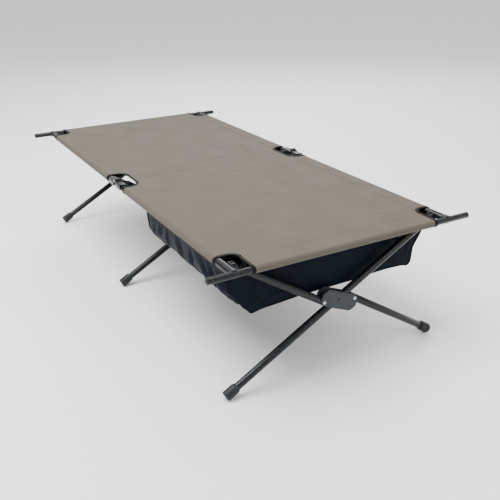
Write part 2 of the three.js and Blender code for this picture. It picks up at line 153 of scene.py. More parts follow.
@contextmanager
def editing(piece: Piece, kind: str = "FACE") -> Iterator[Piece]:
    """Edit mode on one piece, with nothing selected at first.

    Args:
        piece: the mesh to edit.
        kind: what is selected in it, VERT, EDGE or FACE.
    """
    hold(piece)
    bpy.ops.object.mode_set(mode="EDIT")
    bpy.ops.mesh.select_mode(type=kind)
    bpy.ops.mesh.select_all(action="DESELECT")
    yield piece
    bpy.ops.object.mode_set(mode="OBJECT")


def pick_faces(piece: Piece, test: Callable[[bmesh.types.BMFace], bool]) -> None:
    """Select the faces that pass a test and no others, in edit mode."""
    shape = bmesh.from_edit_mesh(piece.data)
    for face in shape.faces:
        face.select_set(bool(test(face)))
    shape.select_flush_mode()
    bmesh.update_edit_mesh(piece.data)


def round_edges(piece: Piece, offset: float, steps: int, test: Callable[[Vector, Vector], bool]) -> None:
    """Bevel the edges whose two ends pass a test.

    Args:
        piece: the mesh to edit.
        offset: how far the bevel reaches from each edge.
        steps: facets across the bevel.
        test: takes the places of an edge's two ends.
    """
    with editing(piece, "EDGE"):
        shape = bmesh.from_edit_mesh(piece.data)
        for edge in shape.edges:
            edge.select_set(bool(test(edge.verts[0].co, edge.verts[1].co)))
        shape.select_flush_mode()
        bmesh.update_edit_mesh(piece.data)
        bpy.ops.mesh.bevel(offset=offset, segments=steps, affect="EDGES")


def face_outwards(piece: Piece) -> None:
    """Turn every face of a closed mesh to look outwards."""
    with editing(piece):
        bpy.ops.mesh.select_all(action="SELECT")
        bpy.ops.mesh.normals_make_consistent(inside=False)


def settle(piece: Piece, matrix: Matrix) -> Piece:
    """Move a piece and bake the move into its mesh, so that its object stays at the origin."""
    piece.matrix_basis = matrix @ piece.matrix_basis
    hold(piece)
    bpy.ops.object.transform_apply(location=True, rotation=True, scale=True)
    return piece


def copy_of(master: Piece, name: str, matrix: Matrix) -> Piece:
    """A copy of a piece with a mesh of its own, moved by a matrix."""
    piece = master.copy()
    piece.data = master.data.copy()
    piece.name = name
    piece.data.name = name
    bpy.context.scene.collection.objects.link(piece)
    return settle(piece, matrix)


def discard(*pieces: Piece) -> None:
    """Remove pieces that were only needed while modelling."""
    for piece in pieces:
        bpy.data.objects.remove(piece)


def apply_modifier(piece: Piece, kind: str, **settings: object) -> None:
    """Add a modifier, set it and apply it."""
    hold(piece)
    modifier = piece.modifiers.new(kind.title(), kind)
    for key, value in settings.items():
        setattr(modifier, key, value)
    bpy.ops.object.modifier_apply(modifier=modifier.name)


def ease_edges(piece: Piece, width: float, steps: int = 2, angle: float = 40.0) -> None:
    """Round every edge sharper than an angle."""
    apply_modifier(
        piece, "BEVEL", width=width, segments=steps, limit_method="ANGLE", angle_limit=math.radians(angle)
    )


def carve(piece: Piece, *cutters: Piece) -> None:
    """Cut other solids out of a piece and discard them."""
    for cutter in cutters:
        apply_modifier(piece, "BOOLEAN", operation="DIFFERENCE", solver="EXACT", object=cutter)
    discard(*cutters)


def joined(name: str, pieces: Sequence[Piece]) -> Piece:
    """Join pieces into the first one, under one name."""
    let_go()
    for piece in pieces:
        piece.select_set(True)
    bpy.context.view_layer.objects.active = pieces[0]
    bpy.ops.object.join()
    return named(name)


def smooth(piece: Piece, angle: float = 35.0) -> Piece:
    """Smooth shading across every edge flatter than an angle."""
    hold(piece)
    bpy.ops.object.shade_smooth_by_angle(angle=math.radians(angle))
    return piece


def block(name: str, low: Sequence[float], high: Sequence[float]) -> Piece:
    """A box between two corners, as a start."""
    low, high = Vector(low), Vector(high)
    let_go()
    bpy.ops.mesh.primitive_cube_add(size=1.0, location=(low + high) / 2, scale=high - low)
    piece = named(name)
    return settle(piece, Matrix.Identity(4))


def turned(name: str, sections: Sequence[Section], sides: int = 40) -> Piece:
    """A closed solid drawn along Z through elliptical sections, by extruding a disc.

    Args:
        name: the piece's name.
        sections: (height, half width along X, half width along Y) of each section in turn.
        sides: corners of every section.

    Returns:
        The piece, still on the Z axis.
    """
    let_go()
    height, wide, deep = sections[0]
    bpy.ops.mesh.primitive_circle_add(vertices=sides, radius=1.0, fill_type="NGON", location=(0, 0, height))
    piece = named(name)
    piece.scale = (wide, deep, 1.0)
    settle(piece, Matrix.Identity(4))
    hold(piece)
    bpy.ops.object.mode_set(mode="EDIT")
    bpy.ops.mesh.select_mode(type="FACE")
    bpy.ops.mesh.select_all(action="SELECT")
    for (below, old_wide, old_deep), (above, new_wide, new_deep) in zip(sections, sections[1:]):
        bpy.ops.mesh.extrude_region_move(TRANSFORM_OT_translate={"value": (0, 0, above - below)})
        ratio = (new_wide / old_wide, new_deep / old_deep, 1.0)
        if max(abs(share - 1.0) for share in ratio) > 1e-6:
            bpy.ops.transform.resize(value=ratio, center_override=(0, 0, above))
    bpy.ops.mesh.select_all(action="SELECT")
    bpy.ops.mesh.normals_make_consistent(inside=False)
    bpy.ops.object.mode_set(mode="OBJECT")
    return piece


def lathed(name: str, pairs: Pairs, sides: int) -> Piece:
    """A closed round solid on the Z axis, through (height, radius) pairs."""
    return turned(name, [(height, radius, radius) for height, radius in pairs], sides)


def dome(radius: float, rise: float, base: float, steps: int = 5) -> list[tuple[float, float]]:
    """(height, radius) pairs of a dome from its rim up to its crown."""
    turns = [step / steps * math.pi / 2 for step in range(steps + 1)]
    return [(base + rise * math.sin(turn), max(radius * math.cos(turn), 0.02 * radius)) for turn in turns]


def headed_pin(name: str, radius: float, reach: float, head: Pairs, sides: int) -> Piece:
    """A pin along Z with the same head at both ends.

    Args:
        name: the piece's name.
        radius: of the shank.
        reach: from the pin's middle to the end of its shank.
        head: (height, radius) pairs of the upper head, from the shank outwards.
        sides: corners of every section.
    """
    lower = [(-height, wide) for height, wide in reversed(head)]
    return lathed(name, [*lower, (-reach, radius), (reach, radius), *head], sides)


def frame_matrix(origin: Vector, along: Vector, sideways: Vector) -> Matrix:
    """A matrix that sends Z along one direction and X along another.

    Args:
        origin: where the piece's own origin goes.
        along: direction of the piece's Z axis.
        sideways: direction of the piece's X axis, square to it.
    """
    upright = along.normalized().cross(sideways.normalized())
    turn = Matrix((sideways.normalized(), upright, along.normalized())).transposed()
    return Matrix.Translation(origin) @ turn.to_4x4()


def hollow_ends(piece: Piece, axis: Vector, wall: float, depth: float) -> None:
    """Sink both ends of a tube, leaving its wall as a rim."""
    for direction in (axis, -axis):
        with editing(piece):
            pick_faces(piece, lambda face: face.normal.dot(direction) > 0.99)
            bpy.ops.mesh.inset(thickness=wall)
            bpy.ops.mesh.extrude_region_move(TRANSFORM_OT_translate={"value": -depth * direction})


def tube_between(name: str, start: Vector, end: Vector, radius: float, wall: float) -> Piece:
    """A straight tube between two points, with hollow ends and rounded rims."""
    axis = (end - start).normalized()
    let_go()
    bpy.ops.mesh.primitive_cylinder_add(
        vertices=48,
        radius=radius,
        depth=(end - start).length,
        location=(start + end) / 2,
        rotation=axis.to_track_quat("Z", "Y").to_euler(),
    )
    piece = settle(named(name), Matrix.Identity(4))
    hollow_ends(piece, axis, wall, 18 * MM)
    ease_edges(piece, 0.4 * MM, 2, 60)
    return smooth(piece)


# ---- shader groups ----------------------------------------------------------------------
def linear(code: str, alpha: float = 1.0) -> Colour:
    """A linear colour from a six-digit sRGB code."""
    values = [int(code[place:place + 2], 16) / 255 for place in (0, 2, 4)]
    mapped = [v / 12.92 if v <= 0.04045 else ((v + 0.055) / 1.055) ** 2.4 for v in values]
    return (mapped[0], mapped[1], mapped[2], alpha)


class Wiring:
    """Short calls for adding nodes to one tree and joining them."""

    def __init__(self, tree: Tree) -> None:
        """Keep the tree that nodes are added to."""
        self.tree = tree

    def feed(self, socket: Socket, value: object) -> None:
        """Join an output to a socket, or set the socket's own value."""
        if isinstance(value, Socket):
            self.tree.links.new(value, socket)
        else:
            socket.default_value = value

    def add(self, kind: str, feeds: dict | None = None, **settings: object) -> Node:
        """Add a node, set its own settings, then feed its inputs."""
        node = self.tree.nodes.new(kind)
        for key, value in settings.items():
            setattr(node, key, value)
        for key, value in (feeds or {}).items():
            self.feed(node.inputs[key], value)
        return node

    def sum(self, operation: str, first: object, second: object = 0.0) -> Socket:
        """One arithmetic step on two values."""
        return self.add("ShaderNodeMath", {0: first, 1: second}, operation=operation).outputs[0]

    def spread(self, value: object, low: float, high: float, start: float, end: float) -> Socket:
        """Stretch a value from one range to another, held at its ends."""
        feeds = {"Value": value, "From Min": low, "From Max": high, "To Min": start, "To Max": end}
        return self.add("ShaderNodeMapRange", feeds).outputs["Result"]

    def blend(self, share: object, first: object, second: object) -> Socket:
        """A colour between two colours."""
        return self.add("ShaderNodeMix", {0: share, 6: first, 7: second}, data_type="RGBA").outputs[2]

    def noise(self, place: object, scale: object, detail: float = 3.0) -> Socket:
        """A noise value at a place."""
        feeds = {"Vector": place, "Scale": scale, "Detail": detail, "Roughness": 0.55}
        return self.add("ShaderNodeTexNoise", feeds).outputs["Fac"]


GroupSocket = tuple[str, str, object]


@dataclass(frozen=True)
class Effect:
    """A shader node group that several materials use."""

    title: str
    takes: tuple[GroupSocket, ...]
    gives: tuple[tuple[str, str], ...]

    def start(self) -> tuple[Wiring, Node, Node]:
        """Make the empty group.

        Returns:
            Its wiring, its input node and its output node.
        """
        tree = bpy.data.node_groups.new(self.title, "ShaderNodeTree")
        for name, kind, value in self.takes:
            socket = tree.interface.new_socket(name, in_out="INPUT", socket_type=kind)
            socket.default_value = value
        for name, kind in self.gives:
            tree.interface.new_socket(name, in_out="OUTPUT", socket_type=kind)
        wiring = Wiring(tree)
        return wiring, wiring.add("NodeGroupInput"), wiring.add("NodeGroupOutput")


FLOAT = "NodeSocketFloat"
COLOUR = "NodeSocketColor"
GREY = (0.5, 0.5, 0.5, 1.0)


def weave_group() -> Tree:
    """Plain weave on the piece's own cloth coordinates, with slubs, uneven dye and painted shade on the low
    cells of the weave.
    """
    yarns = (("Yarn", COLOUR, GREY), ("Shade", COLOUR, GREY))
    takes = (("Threads", FLOAT, 900.0), *yarns, ("Unevenness", FLOAT, 0.4))
    effect = Effect("Plain Weave", takes, (("Colour", COLOUR), ("Height", FLOAT), ("Mottle", FLOAT)))
    wiring, source, sink = effect.start()
    cloth = wiring.add("ShaderNodeUVMap", uv_map="cloth").outputs["UV"]
    scaled = wiring.add(
        "ShaderNodeVectorMath", {0: cloth, "Scale": source.outputs["Threads"]}, operation="SCALE"
    ).outputs[0]
    parts = wiring.add("ShaderNodeSeparateXYZ", {0: scaled})
    waves = [wiring.sum("SINE", wiring.sum("MULTIPLY", parts.outputs[i], math.pi)) for i in (0, 1)]
    weave = wiring.spread(wiring.sum("MULTIPLY", waves[0], waves[1]), -1.0, 1.0, 0.0, 1.0)
    mottle = wiring.noise(cloth, 9.0, 5.0)
    stretched = wiring.add(
        "ShaderNodeVectorMath", {0: cloth, 1: (260.0, 14.0, 1.0)}, operation="MULTIPLY"
    ).outputs[0]
    slub = wiring.noise(stretched, 1.0, 2.0)
    cloudy = wiring.spread(mottle, 0.3, 0.7, 0.0, 0.6)
    uneven = wiring.sum("ADD", cloudy, wiring.spread(slub, 0.3, 0.7, 0.0, 0.4))
    strength = wiring.sum("MULTIPLY", uneven, source.outputs["Unevenness"])
    # Low cells of the weave lean towards the Shade colour: painted shade in the weave's hollows, on top of
    # the uneven dye and slubs.
    share = wiring.sum("ADD", strength, wiring.spread(weave, 0.0, 1.0, 0.25, 0.0))
    wiring.feed(sink.inputs["Colour"], wiring.blend(share, source.outputs["Yarn"], source.outputs["Shade"]))
    wiring.feed(sink.inputs["Height"], wiring.sum("ADD", weave, wiring.sum("MULTIPLY", slub, 0.4)))
    wiring.feed(sink.inputs["Mottle"], mottle)
    return wiring.tree


def edge_wear_group() -> Tree:
    """A mask of rubbed edges, broken up by noise."""
    effect = Effect("Edge Wear", (("Amount", FLOAT, 0.5), ("Scale", FLOAT, 90.0)), (("Mask", FLOAT),))
    wiring, source, sink = effect.start()
    edges = wiring.spread(wiring.add("ShaderNodeNewGeometry").outputs["Pointiness"], 0.52, 0.62, 0.0, 1.0)
    place = wiring.add("ShaderNodeTexCoord").outputs["Object"]
    broken = wiring.spread(wiring.noise(place, source.outputs["Scale"], 4.0), 0.42, 0.62, 0.0, 1.0)
    mask = wiring.sum("MULTIPLY", wiring.sum("MULTIPLY", edges, broken), source.outputs["Amount"])
    wiring.feed(sink.inputs["Mask"], mask)
    return wiring.tree


def grain_group() -> Tree:
    """Fine surface grain for powder coat and moulded plastic, with a slow drift for gloss."""
    effect = Effect("Fine Grain", (("Scale", FLOAT, 900.0),), (("Height", FLOAT), ("Drift", FLOAT)))
    wiring, source, sink = effect.start()
    place = wiring.add("ShaderNodeTexCoord").outputs["Object"]
    cells = wiring.add(
        "ShaderNodeTexVoronoi", {"Vector": place, "Scale": source.outputs["Scale"]}, feature="SMOOTH_F1"
    ).outputs["Distance"]
    fine = wiring.noise(place, source.outputs["Scale"], 2.0)
    wiring.feed(sink.inputs["Height"], wiring.sum("ADD", cells, wiring.sum("MULTIPLY", fine, 0.5)))
    wiring.feed(sink.inputs["Drift"], wiring.spread(wiring.noise(place, 14.0, 4.0), 0.35, 0.65, 0.0, 1.0))
    return wiring.tree


def dust_group() -> Tree:
    """A mask of dust that lies on faces that look upwards."""
    effect = Effect("Settled Dust", (("Amount", FLOAT, 0.2), ("Scale", FLOAT, 30.0)), (("Mask", FLOAT),))
    wiring, source, sink = effect.start()
    normal = wiring.add("ShaderNodeNewGeometry").outputs["Normal"]
    upward = wiring.spread(wiring.add("ShaderNodeSeparateXYZ", {0: normal}).outputs[2], 0.2, 1.0, 0.0, 1.0)
    place = wiring.add("ShaderNodeTexCoord").outputs["Object"]
    patch = wiring.spread(wiring.noise(place, source.outputs["Scale"], 6.0), 0.35, 0.7, 0.0, 1.0)
    mask = wiring.sum("MULTIPLY", wiring.sum("MULTIPLY", upward, patch), source.outputs["Amount"])
    wiring.feed(sink.inputs["Mask"], mask)
    return wiring.tree


@dataclass(frozen=True)
class Groups:
    """The shader groups, built once."""

    weave: Tree
    wear: Tree
    grain: Tree
    dust: Tree

    @classmethod
    def build(cls) -> "Groups":
        """Make every group."""
        return cls(weave_group(), edge_wear_group(), grain_group(), dust_group())


def new_material(title: str) -> tuple[bpy.types.Material, Wiring, Node]:
    """An empty material with its Principled shader.

    Returns:
        The material, its wiring and the shader node.
    """
    material = bpy.data.materials.new(title)
    material.use_nodes = True
    wiring = Wiring(material.node_tree)
    return material, wiring, material.node_tree.nodes["Principled BSDF"]


def placed_group(wiring: Wiring, tree: Tree, feeds: dict) -> Node:
    """Put a shader group in a material with its own values."""
    return wiring.add("ShaderNodeGroup", feeds, node_tree=tree)


# ---- finishes ---------------------------------------------------------------------------
@dataclass(frozen=True)
class HardFinish:
    """Coated metal, bare metal or moulded plastic."""

    title: str
    slot: Slot
    colour: Colour
    worn: Colour
    metal: float
    rough: float
    rough_swing: float = 0.04
    grain: float = 900.0
    relief: float = 0.05
    wear: float = 0.5
    dust: float = 0.12
    coat: float = 0.0
    shine: float = 0.3

    def material(self, groups: Groups) -> bpy.types.Material:
        """Build the finish's material."""
        material, wiring, shader = new_material(self.title)
        grain = placed_group(wiring, groups.grain, {"Scale": self.grain})
        wear = placed_group(wiring, groups.wear, {"Amount": self.wear}).outputs["Mask"]
        dust = placed_group(wiring, groups.dust, {"Amount": self.dust}).outputs["Mask"]
        drift = grain.outputs["Drift"]
        deeper = tuple(0.9 * value for value in self.colour[:3]) + (1.0,)
        body = wiring.blend(drift, self.colour, deeper)
        rubbed = wiring.blend(wear, body, self.worn)
        wiring.feed(shader.inputs["Base Color"], wiring.blend(dust, rubbed, linear("9A968C")))
        gloss = wiring.spread(drift, 0.0, 1.0, self.rough - self.rough_swing, self.rough + self.rough_swing)
        wiring.feed(shader.inputs["Roughness"], wiring.sum("ADD", gloss, wiring.sum("MULTIPLY", dust, 0.4)))
        bared = wiring.spread(wear, 0.0, 1.0, self.metal, max(self.metal, 0.8))
        wiring.feed(shader.inputs["Metallic"], bared)
        bump = {"Height": grain.outputs["Height"], "Strength": self.relief, "Distance": 0.3 * MM}
        wiring.feed(shader.inputs["Normal"], wiring.add("ShaderNodeBump", bump).outputs[0])
        shader.inputs["Specular IOR Level"].default_value = self.shine
        shader.inputs["Coat Weight"].default_value = self.coat
        shader.inputs["Coat Roughness"].default_value = 0.3
        return material


@dataclass(frozen=True)
class ClothFinish:
    """Woven cloth or webbing, on the piece's own cloth coordinates."""

    title: str
    slot: Slot
    yarn: Colour
    # Darker yarn tone, used for uneven dye and for painted shade on the low cells of the weave.
    shade: Colour
    threads: float
    rough: float
    relief: float
    unevenness: float = 0.35
    sheen: float = 0.15
    dust: float = 0.02
    shine: float = 0.12

    def material(self, groups: Groups) -> bpy.types.Material:
        """Build the finish's material."""
        material, wiring, shader = new_material(self.title)
        feeds = {"Threads": self.threads, "Yarn": self.yarn, "Shade": self.shade}
        weave = placed_group(wiring, groups.weave, {**feeds, "Unevenness": self.unevenness})
        dust = placed_group(wiring, groups.dust, {"Amount": self.dust, "Scale": 11.0}).outputs["Mask"]
        # Cloth colour: uneven dye, settled dust and painted shade on the low cells of the weave.
        dusty_dye_and_weave_shade = wiring.blend(dust, weave.outputs["Colour"], linear("B4AFA2"))
        wiring.feed(shader.inputs["Base Color"], dusty_dye_and_weave_shade)
        gloss = wiring.spread(weave.outputs["Mottle"], 0.3, 0.7, self.rough - 0.06, self.rough + 0.06)
        wiring.feed(shader.inputs["Roughness"], gloss)
        bump = {"Height": weave.outputs["Height"], "Strength": self.relief, "Distance": 0.25 * MM}
        wiring.feed(shader.inputs["Normal"], wiring.add("ShaderNodeBump", bump).outputs[0])
        shader.inputs["Specular IOR Level"].default_value = self.shine
        shader.inputs["Sheen Weight"].default_value = self.sheen
        shader.inputs["Sheen Roughness"].default_value = 0.5
        return material


SLATE_COAT = HardFinish(
    "Slate powder coat", Slot.TUBE, linear("06090D"), linear("4A4E54"), 0.2, 0.3,
    relief=0.05, dust=0.015, coat=0.06,
)
BRACKET_COAT = HardFinish(
    "Bracket coat", Slot.BRACKET, linear("101316"), linear("5C6064"), 0.25, 0.36,
    relief=0.06, dust=0.04,
)
PLATE_COAT = HardFinish(
    "Hub plate coat", Slot.PLATE, linear("2A2F34"), linear("686D72"), 0.2, 0.46,
    grain=700.0, relief=0.1, dust=0.04,
)
BRIGHT_STEEL = HardFinish(
    "Bright rivet steel", Slot.RIVET, linear("B9BBBD"), linear("D4D5D6"), 1.0, 0.26,
    rough_swing=0.06, relief=0.02, dust=0.02,
)
MOULDED_BLACK = HardFinish(
    "Moulded black", Slot.MOULDED, linear("171B1F"), linear("34383C"), 0.0, 0.5,
    grain=1200.0, relief=0.15, dust=0.05,
)
BED_CANVAS = ClothFinish(
    "Taupe canvas", Slot.CANVAS, linear("565047"), linear("4C473E"), 900.0, 0.8, 0.35, sheen=0.05
)
TRAY_CLOTH = ClothFinish(
    "Navy tray cloth", Slot.TRAY, linear("020A18"), linear("010610"), 1100.0, 0.56, 0.3, 0.5, 0.0, shine=0.07
)
BLACK_TAPE = ClothFinish(
    "Black binding tape", Slot.CANVAS, linear("060607"), linear("030304"), 700.0, 0.7, 0.5, 0.3, 0.0
)
TAUPE_THREAD = ClothFinish(
    "Taupe thread", Slot.CANVAS, linear("5F594D"), linear("544E43"), 2500.0, 0.7, 0.2, 0.2, 0.0
)


class Wardrobe:
    """Gives every piece its material and its body, and hides the CAD nodes that it stands for."""

    def __init__(self) -> None:
        """Build the shader groups, and leave the materials until they are asked for."""
        self.groups = Groups.build()
        self.made: dict[str, bpy.types.Material] = {}

    def material(self, finish: HardFinish | ClothFinish) -> bpy.types.Material:
        """The material of a finish, made once."""
        if finish.title not in self.made:
            self.made[finish.title] = finish.material(self.groups)
        return self.made[finish.title]

    def dress(
        self, piece: Piece, finish: HardFinish | ClothFinish, body: str, *nodes: str
    ) -> Piece:
        """Finish a piece and hand it to the body that carries it.

        Args:
            piece: the finished mesh, in place.
            finish: its finish.
            body: the body that it moves with.
            nodes: the CAD nodes that it stands for.

        Returns:
            The piece.
        """
        piece.data.materials.clear()
        piece.data.materials.append(self.material(finish))
        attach(piece, body)
        if nodes:
            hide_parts(*nodes)
        LOG.info("%s rides on %s", piece.name, body)
        return piece


# ---- places taken from the frame --------------------------------------------------------
def joint_place(name: str) -> Vector:
    """Where a joint of the frame sits."""
    return Vector(next(joint["pos_m"] for joint in frame["joints"] if joint["name"] == name))


def box_middle(node: str) -> tuple[float, float, float]:
    """The middle of a CAD node's box."""
    low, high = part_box(node)
    return (low.x + high.x) / 2, (low.y + high.y) / 2, (low.z + high.z) / 2


def frame_body(half: Half, side: Side) -> str:
    """The body of one rail half."""
    return f"{half.value}_{side.value}_frame"


# ---- side rails -------------------------------------------------------------------------
@dataclass
class SideRails:
    """Four rail halves with the seats for the end bars, the centre hinges and their pins."""

    radius: float = 12.5 * MM
    wall: float = 1.5 * MM
    bar_radius: float = 10.5 * MM
    seat_reach: float = 17.6 * MM
    seat_radius: float = 14.0 * MM
    seat_plug: float = 14.0 * MM
    leaf_start: float = 9.0 * MM
    leaf_length: float = 60.0 * MM
    leaf_inner: float = 12.9 * MM
    leaf_wall: float = 2.2 * MM
    leaf_depth: float = 7.0 * MM
    knuckle_radius: float = 7.0 * MM
    knuckle_rise: float = 17.0 * MM
    ear_width: float = 4.5 * MM
    pin_radius: float = 3.0 * MM
    gap: float = 0.4 * MM
    rivets_along: tuple[float, ...] = (25.0 * MM, 48.0 * MM)

    def dress(self, wardrobe: Wardrobe) -> None:
        """Build every piece and hand it over."""
        seat = self.build_seat()
        leaves = {Half.NEAR: self.build_leaf(True), Half.FAR: self.build_leaf(False)}
        pin = self.build_pin()
        for half in Half:
            for side in Side:
                self.dress_rail(wardrobe, half, side, seat, leaves[half])
        for side in Side:
            centre = joint_place("centre_fold")
            centre.y = side.across * abs(centre.y)
            piece = copy_of(pin, f"{side.value}_fold_pin", Matrix.Translation(centre))
            wardrobe.dress(piece, BRIGHT_STEEL, frame_body(Half.NEAR, side), f"{side.value}_hinge_pin")
        discard(seat, pin, *leaves.values())

    def dress_rail(
        self, wardrobe: Wardrobe, half: Half, side: Side, seat: Piece, leaf: Piece
    ) -> None:
        """Place one rail half and what is fixed to it."""
        label = f"{half.value}_{side.value}"
        body = frame_body(half, side)
        low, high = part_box(f"{label}_rail")
        centre = (low + high) / 2
        ends = [Vector((x, centre.y, centre.z)) for x in (low.x, high.x)]
        tube = tube_between(f"{label}_rail_tube", ends[0], ends[1], self.radius, self.wall)
        wardrobe.dress(tube, SLATE_COAT, body, f"{label}_rail")
        turn = Matrix.Identity(4) if half is Half.NEAR else HALF_TURN
        bar_x, _, _ = box_middle(f"{half.value}_end_bar")
        at_bar = Matrix.Translation((bar_x, centre.y, centre.z)) @ turn
        wardrobe.dress(copy_of(seat, f"{label}_bar_seat", at_bar), MOULDED_BLACK, body, f"{label}_bar_cradle")
        at_fold = Matrix.Translation((0, centre.y, centre.z)) @ turn
        saddle = copy_of(leaf, f"{label}_fold_leaf", at_fold)
        wardrobe.dress(saddle, BRACKET_COAT, body, f"{label}_hinge_leaf")
        rivets = self.build_rivets(f"{label}_fold_rivets", half, side, centre)
        wardrobe.dress(rivets, BRIGHT_STEEL, body)

    def build_seat(self) -> Piece:
        """The moulded rail end, about the end bar's axis, for a bar beyond +X."""
        plug = self.radius - self.wall - self.gap
        rim = 1.2 * MM
        pairs = [
            (-self.seat_reach - self.seat_plug, plug - 1 * MM),
            (-self.seat_reach - self.seat_plug + 1 * MM, plug),
            (-self.seat_reach, plug),
            (-self.seat_reach, self.seat_radius - rim),
            (-self.seat_reach + rim, self.seat_radius),
            (0.2 * MM, self.seat_radius),
            (1.0 * MM, self.seat_radius - 0.6 * MM),
        ]
        seat = lathed("bar_seat", pairs, 48)
        settle(seat, frame_matrix(Vector(), AXIS_X, AXIS_Y))
        groove_radius = self.bar_radius + self.gap
        reach = 30 * MM
        groove = lathed("groove", [(-reach, groove_radius), (reach, groove_radius)], 48)
        settle(groove, frame_matrix(Vector(), AXIS_Y, AXIS_X))
        mouth = block("mouth", (0, -reach, -groove_radius), (reach, reach, groove_radius))
        carve(seat, groove, mouth)
        ease_edges(seat, 0.5 * MM, 2, 50)
        return smooth(seat)

    def build_leaf(self, forked: bool) -> Piece:
        """A pressed saddle over the rail's end with its knuckles, for a rail that runs towards +X."""
        outer = self.leaf_inner + self.leaf_wall
        shell = block("leaf", (self.leaf_start, -outer, -self.leaf_depth), (self.leaf_length, outer, outer))
        round_edges(shell, 6 * MM, 5, lambda a, b: min(a.z, b.z) > 0 and abs(a.y - b.y) < SAME)
        round_edges(shell, 4 * MM, 4, lambda a, b: max(a.z, b.z) < 0 and abs(a.x - b.x) < SAME)
        far = 0.1
        room = block("room", (-far, -self.leaf_inner, -far), (far, self.leaf_inner, self.leaf_inner))
        round_edges(room, 4.5 * MM, 5, lambda a, b: min(a.z, b.z) > 0 and abs(a.y - b.y) < SAME)
        carve(shell, room)
        ease_edges(shell, 0.4 * MM, 2, 50)
        ear = outer - self.ear_width
        spans = [(-outer, -ear), (ear, outer)] if forked else [(-ear + self.gap, ear - self.gap)]
        knuckles = [self.build_knuckle(low, high) for low, high in spans]
        return smooth(joined("leaf", [shell, *knuckles]), 40)

    def build_knuckle(self, low: float, high: float) -> Piece:
        """One knuckle with the arm that ties it to the saddle, between two places across the rail."""
        top, tip = 18 * MM, self.leaf_start + 8 * MM
        arm = block("arm", (0, low, self.leaf_inner - 0.2 * MM), (tip, high, top))
        round_edges(arm, 2.8 * MM, 4, lambda a, b: min(a.x, b.x) > tip - SAME and min(a.z, b.z) > top - SAME)
        rim = 0.6 * MM
        barrel = self.knuckle_radius
        pairs = [(low, barrel - rim), (low + rim, barrel), (high - rim, barrel), (high, barrel - rim)]
        knuckle = lathed("knuckle", pairs, 32)
        settle(knuckle, frame_matrix(Vector((0, 0, self.knuckle_rise)), AXIS_Y, AXIS_X))
        return joined("knuckle", [knuckle, arm])

    def build_pin(self) -> Piece:
        """The hinge pin about its own middle, along Y, with a domed head at each end."""
        reach = self.leaf_inner + self.leaf_wall + self.gap
        pin = headed_pin("pin", self.pin_radius, reach, dome(self.pin_radius + 2 * MM, 2 * MM, reach), 28)
        settle(pin, frame_matrix(Vector(), AXIS_Y, AXIS_X))
        return smooth(pin)

    def build_rivets(self, name: str, half: Half, side: Side, centre: Vector) -> Piece:
        """The two rivets that show on the outer cheek of a leaf."""
        base = self.leaf_inner + self.leaf_wall - 0.3 * MM
        heads = []
        for along in self.rivets_along:
            head = lathed("head", [(base - 1 * MM, 3 * MM), *dome(4.2 * MM, 2 * MM, base)], 20)
            origin = Vector((half.along * along, centre.y, centre.z))
            heads.append(settle(head, frame_matrix(origin, side.across * AXIS_Y, AXIS_X)))
        return smooth(joined(name, heads))


# ---- end bars ---------------------------------------------------------------------------
@dataclass
class EndBars:
    """The two loose bars that stretch the bed lengthways, with their rounded caps."""

    radius: float = 10.5 * MM
    wall: float = 1.5 * MM
    dome_rise: float = 6.0 * MM
    plug: float = 14.0 * MM

    def dress(self, wardrobe: Wardrobe) -> None:
        """Build every piece and hand it over."""
        cap = self.build_cap()
        for half in Half:
            low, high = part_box(f"{half.value}_end_bar")
            centre = (low + high) / 2
            ends = [Vector((centre.x, y, centre.z)) for y in (low.y, high.y)]
            bar = tube_between(f"{half.value}_bar_tube", ends[0], ends[1], self.radius, self.wall)
            wardrobe.dress(bar, SLATE_COAT, f"{half.value}_bar", f"{half.value}_end_bar")
            for side, end in zip(Side, ends):
                outward = side.across * AXIS_Y
                matrix = frame_matrix(end, outward, AXIS_X)
                piece = copy_of(cap, f"{half.value}_{side.value}_bar_end", matrix)
                node = f"{half.value}_{side.value}_bar_cap"
                wardrobe.dress(piece, MOULDED_BLACK, f"{half.value}_bar", node)
        discard(cap)

    def build_cap(self) -> Piece:
        """A cap on the Z axis, with the bar's end at zero and a shallow groove under its dome."""
        bore = self.radius - self.wall - 0.4 * MM
        start = 0.4 * MM
        pairs = [
            (-self.plug, bore - 1 * MM),
            (-self.plug + 1 * MM, bore),
            (start, bore),
            (start, self.radius),
            (start + 0.8 * MM, self.radius + 0.3 * MM),
            (start + 1.4 * MM, self.radius + 0.3 * MM),
        ]
        crown = dome(self.radius, self.dome_rise - 1.4 * MM, start + 1.4 * MM)
        return smooth(lathed("cap", [*pairs, *crown], 40))


